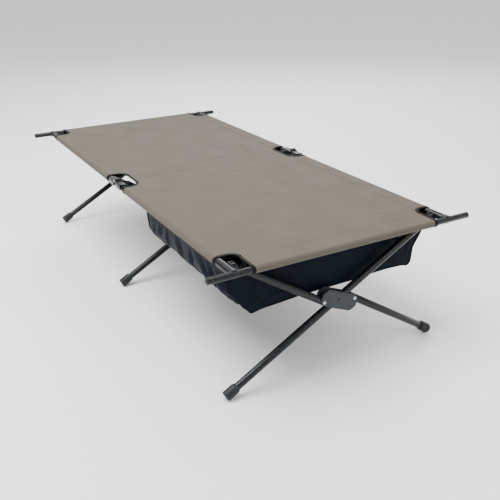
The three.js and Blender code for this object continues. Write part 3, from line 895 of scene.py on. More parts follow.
# ---- leg pairs --------------------------------------------------------------------------
@dataclass
class LegPair:
    """One scissor pair: a straight leg, a leg in two halves, hub plates, rivets, feet and brackets."""

    pair: Pair
    tube_radius: float = 12.5 * MM
    wall: float = 1.5 * MM
    half_offset: float = 26.0 * MM
    half_clearance: float = 2.0 * MM
    rivet_setback: float = 18.0 * MM
    eye_radius: float = 8.0 * MM
    eye_half_width: float = 6.0 * MM
    eye_reach: float = 16.0 * MM
    foot_radius: float = 17.5 * MM
    foot_chamfer: float = 3.0 * MM
    foot_flat: float = 1.2 * MM
    tube_stop: float = 8.4 * MM
    plate_inner: float = 12.9 * MM
    plate_thick: float = 3.0 * MM
    plate_half_length: float = 74.0 * MM
    plate_half_width: float = 29.0 * MM
    plate_corner: float = 18.0 * MM
    plate_tilt: float = math.radians(9.6)
    pin: Vector = field(init=False)
    hub: Vector = field(init=False)

    def __post_init__(self) -> None:
        """Take the pin and hub places from the frame and work out how the legs lean."""
        self.hub = joint_place(f"{self.pair.value}_straight_leg_turn")
        fold = "leg_fold" if self.pair is Pair.NEAR else f"{self.pair.value}_split_leg_turn"
        self.pin = joint_place(fold)
        across = abs(self.pin.y)
        self.lean_straight = math.atan2(self.pin.z - self.hub.z, across)
        self.arm = across / math.cos(self.lean_straight)
        self.lean_split = self.lean_straight + math.asin(self.half_offset / self.arm)
        crossing = self.lean_straight + self.lean_split
        reach = (self.half_offset + self.tube_radius) / math.tan(crossing)
        self.half_stop = reach + self.tube_radius / math.sin(crossing) + self.half_clearance
        self.rivet_place = self.half_stop + self.rivet_setback
        self.split_arm = math.sqrt(self.arm ** 2 - self.half_offset ** 2)
        self.down_straight = Vector((0, -math.cos(self.lean_straight), -math.sin(self.lean_straight)))
        self.down_split = Vector((0, math.cos(self.lean_split), -math.sin(self.lean_split)))
        self.lift = self.half_offset * Vector((0, math.sin(self.lean_split), math.cos(self.lean_split)))

    def sole_height(self, lean: float) -> float:
        """Height of the middle of a foot's end above the floor."""
        return self.foot_radius * math.cos(lean) - self.foot_chamfer * math.sin(lean) - self.foot_flat

    @property
    def bodies(self) -> tuple[str, str]:
        """The bodies of the straight leg and the split leg."""
        return f"{self.pair.value}_straight_leg", f"{self.pair.value}_split_leg"

    def dress(self, wardrobe: Wardrobe, shared: "LegStock") -> None:
        """Build every piece of the pair and hand it over."""
        straight, split = self.bodies
        label = self.pair.value
        right_pin = Vector((self.hub.x, abs(self.pin.y), self.pin.z))
        left_pin = Vector((self.hub.x, -abs(self.pin.y), self.pin.z))
        sole_straight = (self.hub.z - self.sole_height(self.lean_straight)) / math.sin(self.lean_straight)
        split_rise = self.hub.z + self.lift.z - self.sole_height(self.lean_split)
        sole_split = split_rise / math.sin(self.lean_split)

        leg = self.eyed_leg(f"{label}_straight_tube", self.arm + sole_straight - self.tube_stop)
        settle(leg, frame_matrix(right_pin, self.down_straight, AXIS_X))
        wardrobe.dress(leg, SLATE_COAT, straight, f"{label}_straight_leg")
        upper = self.eyed_leg(f"{label}_split_upper_tube", self.split_arm - self.half_stop)
        settle(upper, frame_matrix(left_pin, self.down_split, AXIS_X))
        wardrobe.dress(upper, SLATE_COAT, split, f"{label}_split_leg_upper")
        origin = self.hub + self.lift
        lower = tube_between(
            f"{label}_split_lower_tube",
            origin + self.half_stop * self.down_split,
            origin + (sole_split - self.tube_stop) * self.down_split,
            self.tube_radius,
            self.wall,
        )
        wardrobe.dress(lower, SLATE_COAT, split, f"{label}_split_leg_lower")

        ends = (
            (Side.LEFT, self.hub + sole_straight * self.down_straight, self.down_straight, straight),
            (Side.RIGHT, origin + sole_split * self.down_split, self.down_split, split),
        )
        for side, place, down, body in ends:
            foot = copy_of(shared.foot, f"{label}_{side.value}_foot_cap", frame_matrix(place, -down, AXIS_X))
            self.flatten_sole(foot)
            wardrobe.dress(foot, MOULDED_BLACK, body, f"{label}_{side.value}_foot")
        self.dress_hub(wardrobe, shared, split)
        self.dress_brackets(wardrobe, shared)

    def eyed_leg(self, name: str, length: float) -> Piece:
        """A leg on the Z axis, pressed flat at its top end round the pin, with a hollow lower end.

        Args:
            name: the piece's name.
            length: from the top pin to the end of the tube.
        """
        eye, flat, tube = self.eye_radius, self.eye_half_width, self.tube_radius
        crown = [
            (
                -eye * math.sin(turn),
                flat * (0.55 + 0.45 * math.cos(turn)),
                max(eye * math.cos(turn), 0.4 * MM),
            )
            for turn in (1.5, 1.25, 0.95, 0.6, 0.3)
        ]
        start = self.eye_reach
        press = 14 * MM
        steps = 7
        blend = []
        for step in range(steps + 1):
            share = step / steps
            opened = float(eased(share, 0.0, 1.0))
            wide, deep = flat + (tube - flat) * opened, eye + (tube - eye) * opened
            blend.append((start + press * share, wide, deep))
        rim = 0.4 * MM
        bore = tube - self.wall
        finish = [
            (length - rim, tube, tube),
            (length, tube - rim, tube - rim),
            (length, bore, bore),
            (length - 18 * MM, bore, bore),
        ]
        sections = [*crown, (0.0, flat, eye), (start - 5 * MM, flat, eye), *blend, *finish]
        return smooth(turned(name, sections, 48))

    def flatten_sole(self, foot: Piece) -> None:
        """Wear a foot flat where it stands on the floor."""
        with editing(foot):
            bpy.ops.mesh.select_all(action="SELECT")
            bpy.ops.mesh.bisect(plane_co=(0, 0, 0), plane_no=(0, 0, 1), use_fill=True, clear_inner=True)
        smooth(foot)

    def dress_hub(self, wardrobe: Wardrobe, shared: "LegStock", body: str) -> None:
        """Place the hub plates, the bolt and the rivets."""
        label = self.pair.value
        tilt, aside = self.plate_tilt, self.lift.normalized()
        lengthways = math.cos(tilt) * self.down_split + math.sin(tilt) * aside
        for title, sign in (("outer", 1), ("inner", -1)):
            origin = self.hub + sign * self.plate_inner * AXIS_X
            matrix = frame_matrix(origin, sign * AXIS_X, lengthways)
            plate = copy_of(shared.plate, f"{label}_{title}_hub_shield", matrix)
            wardrobe.dress(plate, PLATE_COAT, body, f"{label}_hub_plate_{title}")
        bolt = copy_of(shared.bolt, f"{label}_hub_pivot_bolt", frame_matrix(self.hub, AXIS_X, AXIS_Y))
        wardrobe.dress(bolt, PLATE_COAT, body, f"{label}_hub_bolt")
        for title, sign in (("upper", -1), ("lower", 1)):
            place = self.hub + sign * (self.rivet_place * self.down_split + self.lift)
            rivet = copy_of(shared.rivet, f"{label}_{title}_hub_stud", frame_matrix(place, AXIS_X, AXIS_Y))
            wardrobe.dress(rivet, BRIGHT_STEEL, body, f"{label}_hub_rivet_{title}")

    def dress_brackets(self, wardrobe: Wardrobe, shared: "LegStock") -> None:
        """Place the brackets that hold the legs' top pins to the rails."""
        middle = self.pair is Pair.MIDDLE
        master = shared.leaf_bracket if middle else shared.rail_bracket
        half = Half.NEAR if self.pair is Pair.NEAR else Half.FAR
        for side in Side:
            _, rail_y, _ = box_middle(f"{half.value}_{side.value}_rail")
            turn = Matrix.Identity(4) if side is Side.LEFT else HALF_TURN
            place = Matrix.Translation((self.hub.x, rail_y, self.pin.z)) @ turn
            bracket = copy_of(master, f"{self.pair.value}_{side.value}_leg_hanger", place)
            node = f"{self.pair.value}_{side.value}_leg_bracket"
            wardrobe.dress(bracket, BRACKET_COAT, frame_body(half, side), node)


@dataclass
class LegStock:
    """The pieces that every leg pair repeats, modelled once at the origin."""

    sizes: LegPair
    pin_inset: float = 26.0 * MM
    ear_half_gap: float = 6.4 * MM
    ear_wall: float = 3.0 * MM
    bracket_half_length: float = 14.0 * MM
    bracket_half_height: float = 11.0 * MM
    bracket_wall: float = 2.0 * MM
    bolt_radius: float = 5.0 * MM
    rivet_radius: float = 3.0 * MM
    over_rail: float = 12.9 * MM
    over_leaf: float = 15.5 * MM

    def __post_init__(self) -> None:
        """Model every shared piece."""
        self.foot = self.build_foot()
        self.plate = self.build_plate()
        self.bolt = self.build_bolt()
        self.rivet = self.build_rivet()
        self.rail_bracket = self.build_bracket("rail_bracket", self.over_rail)
        self.leaf_bracket = self.build_bracket("leaf_bracket", self.over_leaf)

    def clear(self) -> None:
        """Remove the masters."""
        discard(self.foot, self.plate, self.bolt, self.rivet, self.rail_bracket, self.leaf_bracket)

    def build_foot(self) -> Piece:
        """A moulded foot with its outer end at zero, running up the leg towards +Z."""
        outer = self.sizes.foot_radius
        corner = 5.0 * MM
        pairs = [(0.0, outer - corner)]
        for step in range(1, 6):
            turn = step / 5 * math.pi / 2
            pairs.append((corner * (1 - math.cos(turn)), outer - corner + corner * math.sin(turn)))
        for groove in (13.0 * MM, 19.0 * MM, 25.0 * MM):
            pairs += [
                (groove, outer),
                (groove + 0.6 * MM, outer - 0.9 * MM),
                (groove + 1.8 * MM, outer - 0.9 * MM),
                (groove + 2.4 * MM, outer),
            ]
        bore = self.sizes.tube_radius + 0.3 * MM
        pairs += [
            (38.0 * MM, outer),
            (43.0 * MM, outer - 1.6 * MM),
            (46.5 * MM, outer - 2.2 * MM),
            (48.0 * MM, outer - 3.4 * MM),
            (48.0 * MM, bore),
            (42.0 * MM, bore),
        ]
        return lathed("foot", pairs, 40)

    def build_plate(self) -> Piece:
        """A hub plate flat on the XY plane, long along X, with a raised field inside its rim."""
        long, wide, thick = self.sizes.plate_half_length, self.sizes.plate_half_width, self.sizes.plate_thick
        plate = block("plate", (-long, -wide, 0), (long, wide, thick))
        for offset, steps in ((self.sizes.plate_corner, 1), (4.5 * MM, 4)):
            round_edges(plate, offset, steps, lambda a, b: abs(a.z - b.z) > 0.5 * thick)
        with editing(plate):
            pick_faces(plate, lambda face: face.normal.z > 0.9)
            bpy.ops.mesh.inset(thickness=4 * MM)
            bpy.ops.mesh.inset(thickness=1.2 * MM)
            bpy.ops.transform.translate(value=(0, 0, 0.9 * MM))
        ease_edges(plate, 0.5 * MM, 2, 50)
        return smooth(plate, 30)

    def build_bolt(self) -> Piece:
        """The hub's pivot along Z, with a low cap over each plate."""
        reach = self.sizes.plate_inner + self.sizes.plate_thick + 0.4 * MM
        cap = 9.0 * MM
        head = [(reach, cap), *dome(cap, 2.2 * MM, reach + 0.8 * MM, 5)]
        return smooth(headed_pin("bolt", self.bolt_radius, reach, head, 36), 30)

    def build_rivet(self) -> Piece:
        """A hub rivet along Z, with a dome outside each plate."""
        reach = self.sizes.plate_inner + self.sizes.plate_thick + 0.6 * MM
        return smooth(headed_pin("rivet", self.rivet_radius, reach, dome(6.0 * MM, 2.0 * MM, reach, 6), 32))

    def build_bracket(self, name: str, back: float) -> Piece:
        """A leg's hanger about the rail's axis, for a rail on the left.

        Args:
            name: the master's name.
            back: how far in from the rail's axis its back plate stands.
        """
        long, high = self.bracket_half_length, self.bracket_half_height
        plate = block("back", (-long, back, -high), (long, back + self.bracket_wall, high))
        round_edges(plate, 3 * MM, 4, lambda a, b: abs(a.y - b.y) > 0.5 * self.bracket_wall)
        ears = []
        tip = self.pin_inset + high - 1 * MM
        for sign in (-1, 1):
            near, far = sorted((sign * self.ear_half_gap, sign * (self.ear_half_gap + self.ear_wall)))
            ear = block("ear", (near, back + 0.5 * MM, -high + 1 * MM), (far, tip, high - 1 * MM))
            round_edges(
                ear, high - 1.2 * MM, 8, lambda a, b: min(a.y, b.y) > tip - SAME and abs(a.x - b.x) > SAME
            )
            ears.append(ear)
        reach = self.ear_half_gap + self.ear_wall
        pin = headed_pin("pin", 4 * MM, reach, dome(6.0 * MM, 2.6 * MM, reach, 5), 28)
        settle(pin, frame_matrix(Vector((0, self.pin_inset, 0)), AXIS_X, AXIS_Y))
        bracket = joined(name, [plate, *ears, pin])
        ease_edges(bracket, 0.4 * MM, 2, 60)
        return smooth(bracket)


# ---- sewn pieces ------------------------------------------------------------------------
def mesh_piece(name: str, places: Grid, faces: Sequence[Sequence[int]], cloth: Grid | None = None) -> Piece:
    """A new piece from its places and faces.

    Args:
        name: the piece's name.
        places: of its corners, in metres.
        faces: the corners of each face.
        cloth: where each corner lies on the flat cloth, in metres, for its UV map.
    """
    mesh = bpy.data.meshes.new(name)
    mesh.from_pydata(places.tolist(), [], faces)
    layer = mesh.uv_layers.new(name="cloth")
    if cloth is not None:
        order = np.zeros(len(mesh.loops), dtype=np.int32)
        mesh.loops.foreach_get("vertex_index", order)
        layer.data.foreach_set("uv", cloth[order].astype(np.float32).ravel())
    piece = bpy.data.objects.new(name, mesh)
    bpy.context.scene.collection.objects.link(piece)
    return piece


def cloth_piece(
    name: str, places: Grid, cloth: Grid, thickness: float, outward: Vector, even_wall: bool = True
) -> Piece:
    """A sheet from a grid of places, thickened on the side away from a direction.

    Args:
        name: the piece's name.
        places: rows by columns by 3, in metres.
        cloth: rows by columns by 2, where each place lies on the flat cloth, in metres.
        thickness: of the cloth.
        outward: the direction that the first row's faces look in.
        even_wall: whether the wall keeps its thickness round tight bends.

    Returns:
        The piece, with its cloth coordinates in a UV map.
    """
    rows, columns = places.shape[:2]
    index = np.arange(rows * columns).reshape(rows, columns)
    quads = np.stack([index[:-1, :-1], index[1:, :-1], index[1:, 1:], index[:-1, 1:]], axis=-1).reshape(-1, 4)
    sample = [Vector(places.reshape(-1, 3)[corner]) for corner in quads[0]]
    if (sample[1] - sample[0]).cross(sample[3] - sample[0]).dot(outward) < 0:
        quads = quads[:, ::-1]
    piece = mesh_piece(name, places.reshape(-1, 3), quads.tolist(), cloth.reshape(-1, 2))
    apply_modifier(piece, "SOLIDIFY", thickness=thickness, offset=-1.0, use_even_offset=even_wall)
    return smooth(piece, 60)


def swept_band(
    name: str, line: Grid, sideways: Grid, normal: Grid, outline: Sequence[tuple[float, float]]
) -> Piece:
    """A band with one outline swept along a line.

    Args:
        name: the piece's name.
        line: places along the line.
        sideways: at each place, the direction of the outline's first axis.
        normal: at each place, the direction of its second axis.
        outline: corners of the section, as (sideways, normal) pairs.
    """
    shape = np.array(outline)
    aside = shape[None, :, :1] * sideways[:, None, :]
    rings = line[:, None, :] + aside + shape[None, :, 1:] * normal[:, None, :]
    count, corners = rings.shape[:2]
    index = np.arange(count * corners).reshape(count, corners)
    following = np.roll(index, -1, axis=1)
    quads = np.stack([index[:-1], following[:-1], following[1:], index[1:]], axis=-1).reshape(-1, 4)
    faces = [*quads.tolist(), index[0][::-1].tolist(), index[-1].tolist()]
    around = np.linalg.norm(shape, axis=1)
    flat = np.stack(np.broadcast_arrays(around[None, :], travelled(line)[:, None]), axis=-1)
    piece = mesh_piece(name, rings.reshape(-1, 3), faces, flat.reshape(-1, 2))
    face_outwards(piece)
    return smooth(piece, 40)


def unit(vectors: Grid) -> Grid:
    """Every vector at length one."""
    return vectors / np.maximum(np.linalg.norm(vectors, axis=-1, keepdims=True), 1e-12)


def travelled(places: Grid) -> Grid:
    """Distance along a line of places, at each of them."""
    return np.concatenate([[0.0], np.cumsum(np.linalg.norm(np.diff(places, axis=0), axis=1))])


def spaced(places: Grid, count: int) -> Grid:
    """A line of places divided into a number of equal steps."""
    travel = travelled(places)
    marks = np.linspace(0.0, travel[-1], count + 1)
    return np.stack([np.interp(marks, travel, places[:, axis]) for axis in range(places.shape[1])], axis=1)


def even(places: Grid, step: float) -> Grid:
    """Places at even steps of about one length along a line of places."""
    return spaced(places, max(int(travelled(places)[-1] / step), 2))


def eased(value: Grid | float, low: float, high: float) -> Grid:
    """Zero below one value, one above another, and smooth between."""
    share = np.clip((np.asarray(value, float) - low) / (high - low), 0.0, 1.0)
    return share * share * (3.0 - 2.0 * share)


def wrap_line(seam: float, height: float, radius: float, step: float) -> Grid:
    """A sleeve's section: out over a round bar at the origin, about it and back to the seam.

    Args:
        seam: how far in the seam lies.
        height: of the seam's inside, above the bar's axis.
        radius: of the cloth's outer face about the bar.
        step: between places.

    Returns:
        (outwards, up) places, from the seam on top to the seam underneath.
    """
    toward = math.atan2(height, -seam)
    opening = math.acos(radius / math.hypot(seam, height))
    last = toward + opening - 2 * math.pi
    turns = np.linspace(math.pi / 2, last, 40)
    arc = np.stack([radius * np.cos(turns), radius * np.sin(turns)], axis=1)
    line = np.concatenate([[[-seam, radius]], arc, [[-seam, height]]])
    return even(line, step)


# Section of the tape folded over a free edge: (inwards from the edge, up from the cloth's middle).
BINDING = [
    (-1.4 * MM, -0.8 * MM), (-1.4 * MM, 1.0 * MM), (-0.6 * MM, 1.7 * MM), (8.4 * MM, 1.7 * MM),
    (9.2 * MM, 1.0 * MM), (9.2 * MM, -0.6 * MM), (8.4 * MM, -1.1 * MM), (-0.6 * MM, -1.1 * MM),
]


@dataclass(frozen=True)
class Crease:
    """A soft fold in stretched cloth."""

    start: tuple[float, float]
    end: tuple[float, float]
    width: float
    rise: float

    def height(self, x: Grid, y: Grid) -> Grid:
        """Rise of the fold at each place."""
        start, end = np.array(self.start), np.array(self.end)
        run = end - start
        length = np.linalg.norm(run)
        run = run / length
        along = ((x - start[0]) * run[0] + (y - start[1]) * run[1]) / length
        aside = -(x - start[0]) * run[1] + (y - start[1]) * run[0]
        bow = 0.012 * np.sin(np.pi * np.clip(along, 0.0, 1.0))
        fade = np.sin(np.pi * np.clip(along, 0.0, 1.0)) ** 0.7
        return 1.8 * self.rise * fade * np.exp(-(((aside - bow) / self.width) ** 2))


@dataclass
class BedFabric:
    """The bed: a tight centre panel and a sleeve along each rail, split at the centre fold."""

    cloth: float = 0.8 * MM
    seam_in: float = 55.0 * MM
    top: float = 13.9 * MM
    bar_wrap: float = 12.0 * MM
    end_seam: float = 70.0 * MM
    fold_cut_half: float = 85.0 * MM
    fold_cut_round: float = 38.5 * MM
    corner_cut: float = 100.0 * MM
    corner_cut_round: float = 27.5 * MM
    sag: float = 5.0 * MM
    step: float = 7.0 * MM
    split: float = 0.3 * MM
    panel_keep: float = 0.021
    creases: tuple[Crease, ...] = (
        Crease((0.03, -0.33), (-0.02, 0.32), 9 * MM, -1.3 * MM),
        Crease((-0.07, -0.30), (-0.11, 0.33), 11 * MM, 1.1 * MM),
        Crease((-0.20, -0.26), (-0.23, 0.30), 13 * MM, 0.8 * MM),
        Crease((0.09, -0.32), (0.13, 0.26), 12 * MM, 0.8 * MM),
        Crease((0.05, -0.345), (0.20, -0.16), 8 * MM, 1.3 * MM),
        Crease((-0.05, -0.345), (-0.22, -0.18), 8 * MM, 1.2 * MM),
        Crease((0.05, 0.345), (0.22, 0.17), 8 * MM, 1.3 * MM),
        Crease((-0.05, 0.345), (-0.20, 0.14), 8 * MM, 1.2 * MM),
        Crease((0.87, -0.345), (0.70, -0.15), 9 * MM, 1.0 * MM),
        Crease((0.87, 0.345), (0.72, 0.16), 9 * MM, 1.0 * MM),
        Crease((-0.87, -0.345), (-0.70, -0.17), 9 * MM, 1.0 * MM),
        Crease((-0.87, 0.345), (-0.71, 0.15), 9 * MM, 1.0 * MM),
    )

    def __post_init__(self) -> None:
        """Take the rails' and bars' places from the frame."""
        _, rail_y, self.rail_z = box_middle("near_left_rail")
        self.rail_y = abs(rail_y)
        self.bar_x, _, _ = box_middle("near_end_bar")
        self.seam_y = self.rail_y - self.seam_in

    def dress(self, wardrobe: Wardrobe) -> None:
        """Build every piece of the bed and hand it over."""
        for half in Half:
            self.dress_panel(wardrobe, half)
            for side in Side:
                self.dress_sleeve(wardrobe, half, side)

    def surface(self, x: Grid, y: Grid) -> Grid:
        """Height of the stretched cloth's upper face."""
        drop = (self.top - self.bar_wrap) * eased(np.abs(x), self.bar_x - 0.12, self.bar_x - 0.005)
        hollow = self.sag * (1.0 - (y / self.seam_y) ** 2) * (1.0 - eased(np.abs(x), 0.5, self.bar_x - 0.03))
        ripple = 0.5 * MM * np.sin(x * 21.0 + 2.0 * np.sin(y * 7.0))
        ripple = ripple * np.cos(y * 13.0 + 1.3 * np.sin(x * 5.0))
        inside = 1.0 - eased(np.abs(y), self.seam_y - 0.05, self.seam_y)
        folds = sum(crease.height(x, y) for crease in self.creases)
        ends = 1.0 - eased(np.abs(x), self.bar_x - self.end_seam - 0.02, self.bar_x - self.end_seam + 0.02)
        return self.rail_z + self.top - drop - hollow + (ripple + folds) * inside * ends

    def dress_panel(self, wardrobe: Wardrobe, half: Half) -> None:
        """The centre panel with the sleeve about the end bar, and the bindings on its free edges."""
        label = half.value
        body = frame_body(half, Side.LEFT)
        flat = np.arange(self.split, self.bar_x, self.step)
        wrap = wrap_line(self.end_seam, 10.2 * MM, self.bar_wrap, 2.5 * MM)
        around = wrap[int(np.argmax(wrap[:, 0] >= 0)):]
        around = around[around[:, 0] > -self.end_seam + SAME]
        along = np.concatenate([flat, self.bar_x + around[:, 0]])
        columns = np.linspace(-self.seam_y, self.seam_y, 97)
        x = np.repeat(along[:, None], len(columns), axis=1)
        y = np.repeat(columns[None, :], len(along), axis=0)
        z = self.surface(half.along * x, y)
        count = len(flat)
        pucker = 0.5 * MM * np.sin(y[count:] * 190.0) * eased(-around[:, 0], 0.01, 0.06)[:, None]
        z[count:] = self.rail_z + around[:, 1][:, None] + pucker
        places = np.stack([half.along * x, y, z], axis=-1)
        travel = travelled(np.stack([along, z[:, 0]], axis=1))
        cloth = np.stack([y, np.repeat(travel[:, None], len(columns), axis=1)], axis=-1)
        panel = cloth_piece(f"{label}_bed_panel", places, cloth, self.cloth, AXIS_Z)
        wardrobe.dress(panel, BED_CANVAS, body, f"{label}_bed_fabric")
        bindings = []
        for title, edge, inward in (("left", 0, 1), ("right", -1, -1)):
            for place, rows in self.free_rows(along, count):
                name = f"{label}_{title}_{place}_panel_binding"
                bindings.append(self.edge_binding(name, places[rows, edge], inward))
        seam = self.end_seam_piece(label, half)
        for piece in (*bindings, seam):
            finish = TAUPE_THREAD if piece is seam else BLACK_TAPE
            wardrobe.dress(piece, finish, body)
        for piece in (panel, *bindings, seam):
            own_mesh(piece)

    def free_rows(self, along: Grid, flat_count: int) -> list[tuple[str, Grid]]:
        """The rows of the panel whose side edges are free: at the fold cut-out and at the corner."""
        order = np.arange(len(along))
        fold = order[(order < flat_count) & (along < self.fold_cut_half - self.fold_cut_round + self.step)]
        corner_start = self.bar_x - self.corner_cut + self.corner_cut_round
        corner = order[(order >= flat_count) | (along > corner_start - self.step)]
        return [("fold", fold), ("corner", corner)]

    def edge_binding(self, name: str, spine: Grid, inward: int) -> Piece:
        """Tape folded over a free edge of the panel."""
        tangent = unit(np.gradient(spine, axis=0))
        sideways = np.zeros_like(spine)
        sideways[:, 1] = inward
        normal = unit(np.cross(tangent, sideways))
        if normal[0, 2] < 0:
            normal = -normal
        centred = spine - 0.5 * self.cloth * normal
        return swept_band(name, centred, sideways, normal, BINDING)

    def end_seam_piece(self, label: str, half: Half) -> Piece:
        """Two rows of stitches across the bed where the end sleeve is sewn down."""
        rows = []
        for inset in (2.0 * MM, 8.0 * MM):
            x = self.bar_x - self.end_seam + inset
            marks = np.arange(-self.seam_y + 0.012, self.seam_y - 0.012, 5.0 * MM)
            z = self.surface(np.full_like(marks, half.along * x), marks)
            rows.append(np.stack([np.full_like(marks, half.along * x), marks, z], axis=1))
        return stitches(f"{label}_end_stitches", np.concatenate(rows), AXIS_Y)

    def sleeve_grid(self) -> tuple[Grid, Grid, Grid, Grid]:
        """One side sleeve of the near half, about the rail's axis and for a rail on the left.

        Returns:
            The places, the places on the flat cloth, the outward normals and the section's travel.
        """
        section = wrap_line(self.seam_in, self.top - 1.9 * MM, self.top, 3.0 * MM)
        travel = travelled(section)
        inset = np.clip(np.minimum(travel, travel[-1] - travel), 0.0, None)
        starts = self.fold_cut_half - self.rounding(inset, self.fold_cut_round)
        ends = self.bar_x - self.corner_cut + self.rounding(inset, self.corner_cut_round)
        shares = np.linspace(0.0, 1.0, 121)
        x = starts[:, None] + (ends - starts)[:, None] * shares[None, :]
        tangent = unit(np.gradient(section, axis=0))
        outward = np.stack([-tangent[:, 1], tangent[:, 0]], axis=1)
        slack = eased(inset, 0.006, 0.03)[:, None] * (1.0 - eased(inset, 0.045, 0.06))[:, None]
        pucker = 0.35 * MM * slack * (np.sin(x * 150.0 + 3.0 * np.sin(x * 17.0)) + 0.6 * np.sin(x * 61.0))
        across = section[:, 0][:, None] + outward[:, 0][:, None] * pucker
        up = section[:, 1][:, None] + outward[:, 1][:, None] * pucker
        places = np.stack([x, -across, up], axis=-1)
        cloth = np.stack([np.repeat(travel[:, None], x.shape[1], axis=1), x], axis=-1)
        normals = np.stack([np.zeros(len(section)), -outward[:, 0], outward[:, 1]], axis=1)
        return places, cloth, normals, travel

    @staticmethod
    def rounding(inset: Grid, radius: float) -> Grid:
        """How far a cut-out's edge has pulled back, at each distance from its deepest line."""
        close = np.clip(radius - inset, 0.0, radius)
        return radius - np.sqrt(np.maximum(radius ** 2 - close ** 2, 0.0))

    def dress_sleeve(self, wardrobe: Wardrobe, half: Half, side: Side) -> None:
        """The sleeve along one rail half, with its bindings and its stitches."""
        label = f"{half.value}_{side.value}"
        body = frame_body(half, side)
        places, cloth, normals, travel = self.sleeve_grid()
        flip = np.array([half.along, -side.across, 1.0])
        shift = np.array([0.0, side.across * self.rail_y, self.rail_z])
        places = places * flip + shift
        normals = normals * flip
        lap = np.zeros_like(places)
        lap[..., 2] = (0.6 * MM * (1.0 - eased(travel, 0.0, 0.012)))[:, None]
        places = places + lap
        sleeve = cloth_piece(f"{label}_bed_sleeve", places, cloth, self.cloth, AXIS_Z)
        wardrobe.dress(sleeve, BED_CANVAS, body)
        bindings = []
        for title, column, inward in (("fold", 0, 1), ("corner", -1, -1)):
            spine = places[:, column]
            neighbour = places[:, column + inward]
            tangent = unit(np.gradient(spine, axis=0))
            sideways = neighbour - spine
            sideways = unit(sideways - (sideways * tangent).sum(1, keepdims=True) * tangent)
            centred = spine - 0.5 * self.cloth * normals
            bindings.append(swept_band(f"{label}_{title}_binding", centred, sideways, normals, BINDING))
        thread = self.side_stitches(label, places, travel)
        for piece in bindings:
            wardrobe.dress(piece, BLACK_TAPE, body)
        wardrobe.dress(thread, TAUPE_THREAD, body)
        width, length = float(travel[-1]), self.bar_x - self.corner_cut + self.corner_cut_round
        length -= self.fold_cut_half - self.fold_cut_round

    def side_stitches(self, label: str, places: Grid, travel: Grid) -> Piece:
        """Two rows of stitches along the seam between a sleeve and the centre panel."""
        rows = []
        for inset in (3.0 * MM, 9.0 * MM):
            row = int(np.argmin(np.abs(travel - inset)))
            line = even(places[row], 5.0 * MM)
            rows.append(line[2:-2])
        return stitches(f"{label}_seam_stitches", np.concatenate(rows), AXIS_X)


def stitches(name: str, places: Grid, along: Vector) -> Piece:
    """One low stitch at every place, lying along a direction.

    Args:
        name: the piece's name.
        places: where the stitches are.
        along: the direction of the seam.
    """
    long, wide, tall = 1.7 * MM, 0.35 * MM, 0.45 * MM
    side = AXIS_Z.cross(along)
    ring = [(-long, 0, -0.2 * MM), (-0.6 * long, wide, 0), (0.6 * long, wide, 0), (long, 0, -0.2 * MM),
            (0.6 * long, -wide, 0), (-0.6 * long, -wide, 0), (-0.5 * long, 0, tall), (0.5 * long, 0, tall)]
    corners = np.array([list(a * along + b * side + c * AXIS_Z) for a, b, c in ring])
    faces = np.array([(0, 1, 6), (1, 2, 7), (1, 7, 6), (2, 3, 7), (3, 4, 7), (4, 5, 6), (4, 6, 7), (5, 0, 6),
                      (0, 5, 1), (1, 5, 4), (1, 4, 2), (2, 4, 3)])
    points = (places[:, None, :] + corners[None, :, :]).reshape(-1, 3)
    triangles = (faces[None, :, :] + 8 * np.arange(len(places))[:, None, None]).reshape(-1, 3)
    piece = mesh_piece(name, points, triangles.tolist())
    face_outwards(piece)
    return piece


# ---- storage tray -----------------------------------------------------------------------
@dataclass(frozen=True)
class CornerFan:
    """Pleats that fan out from a corner of the tray and fade with distance."""

    rise: float
    pleats: float
    phase: float
    wander: float
    wander_pleats: float
    fade: float
    start: float
    blunt: float = 4.0 * MM

    def height(self, away: Grid, up: Grid) -> Grid:
        """Push of the pleats at places beside and above the corner."""
        angle = np.arctan2(up, away + self.blunt)
        reach = np.hypot(up, away)
        swing = angle * self.pleats + self.phase + self.wander * np.sin(angle * self.wander_pleats)
        return self.rise * np.cos(swing) * np.exp(-((reach / self.fade) ** 2)) * eased(reach, 0.0, self.start)


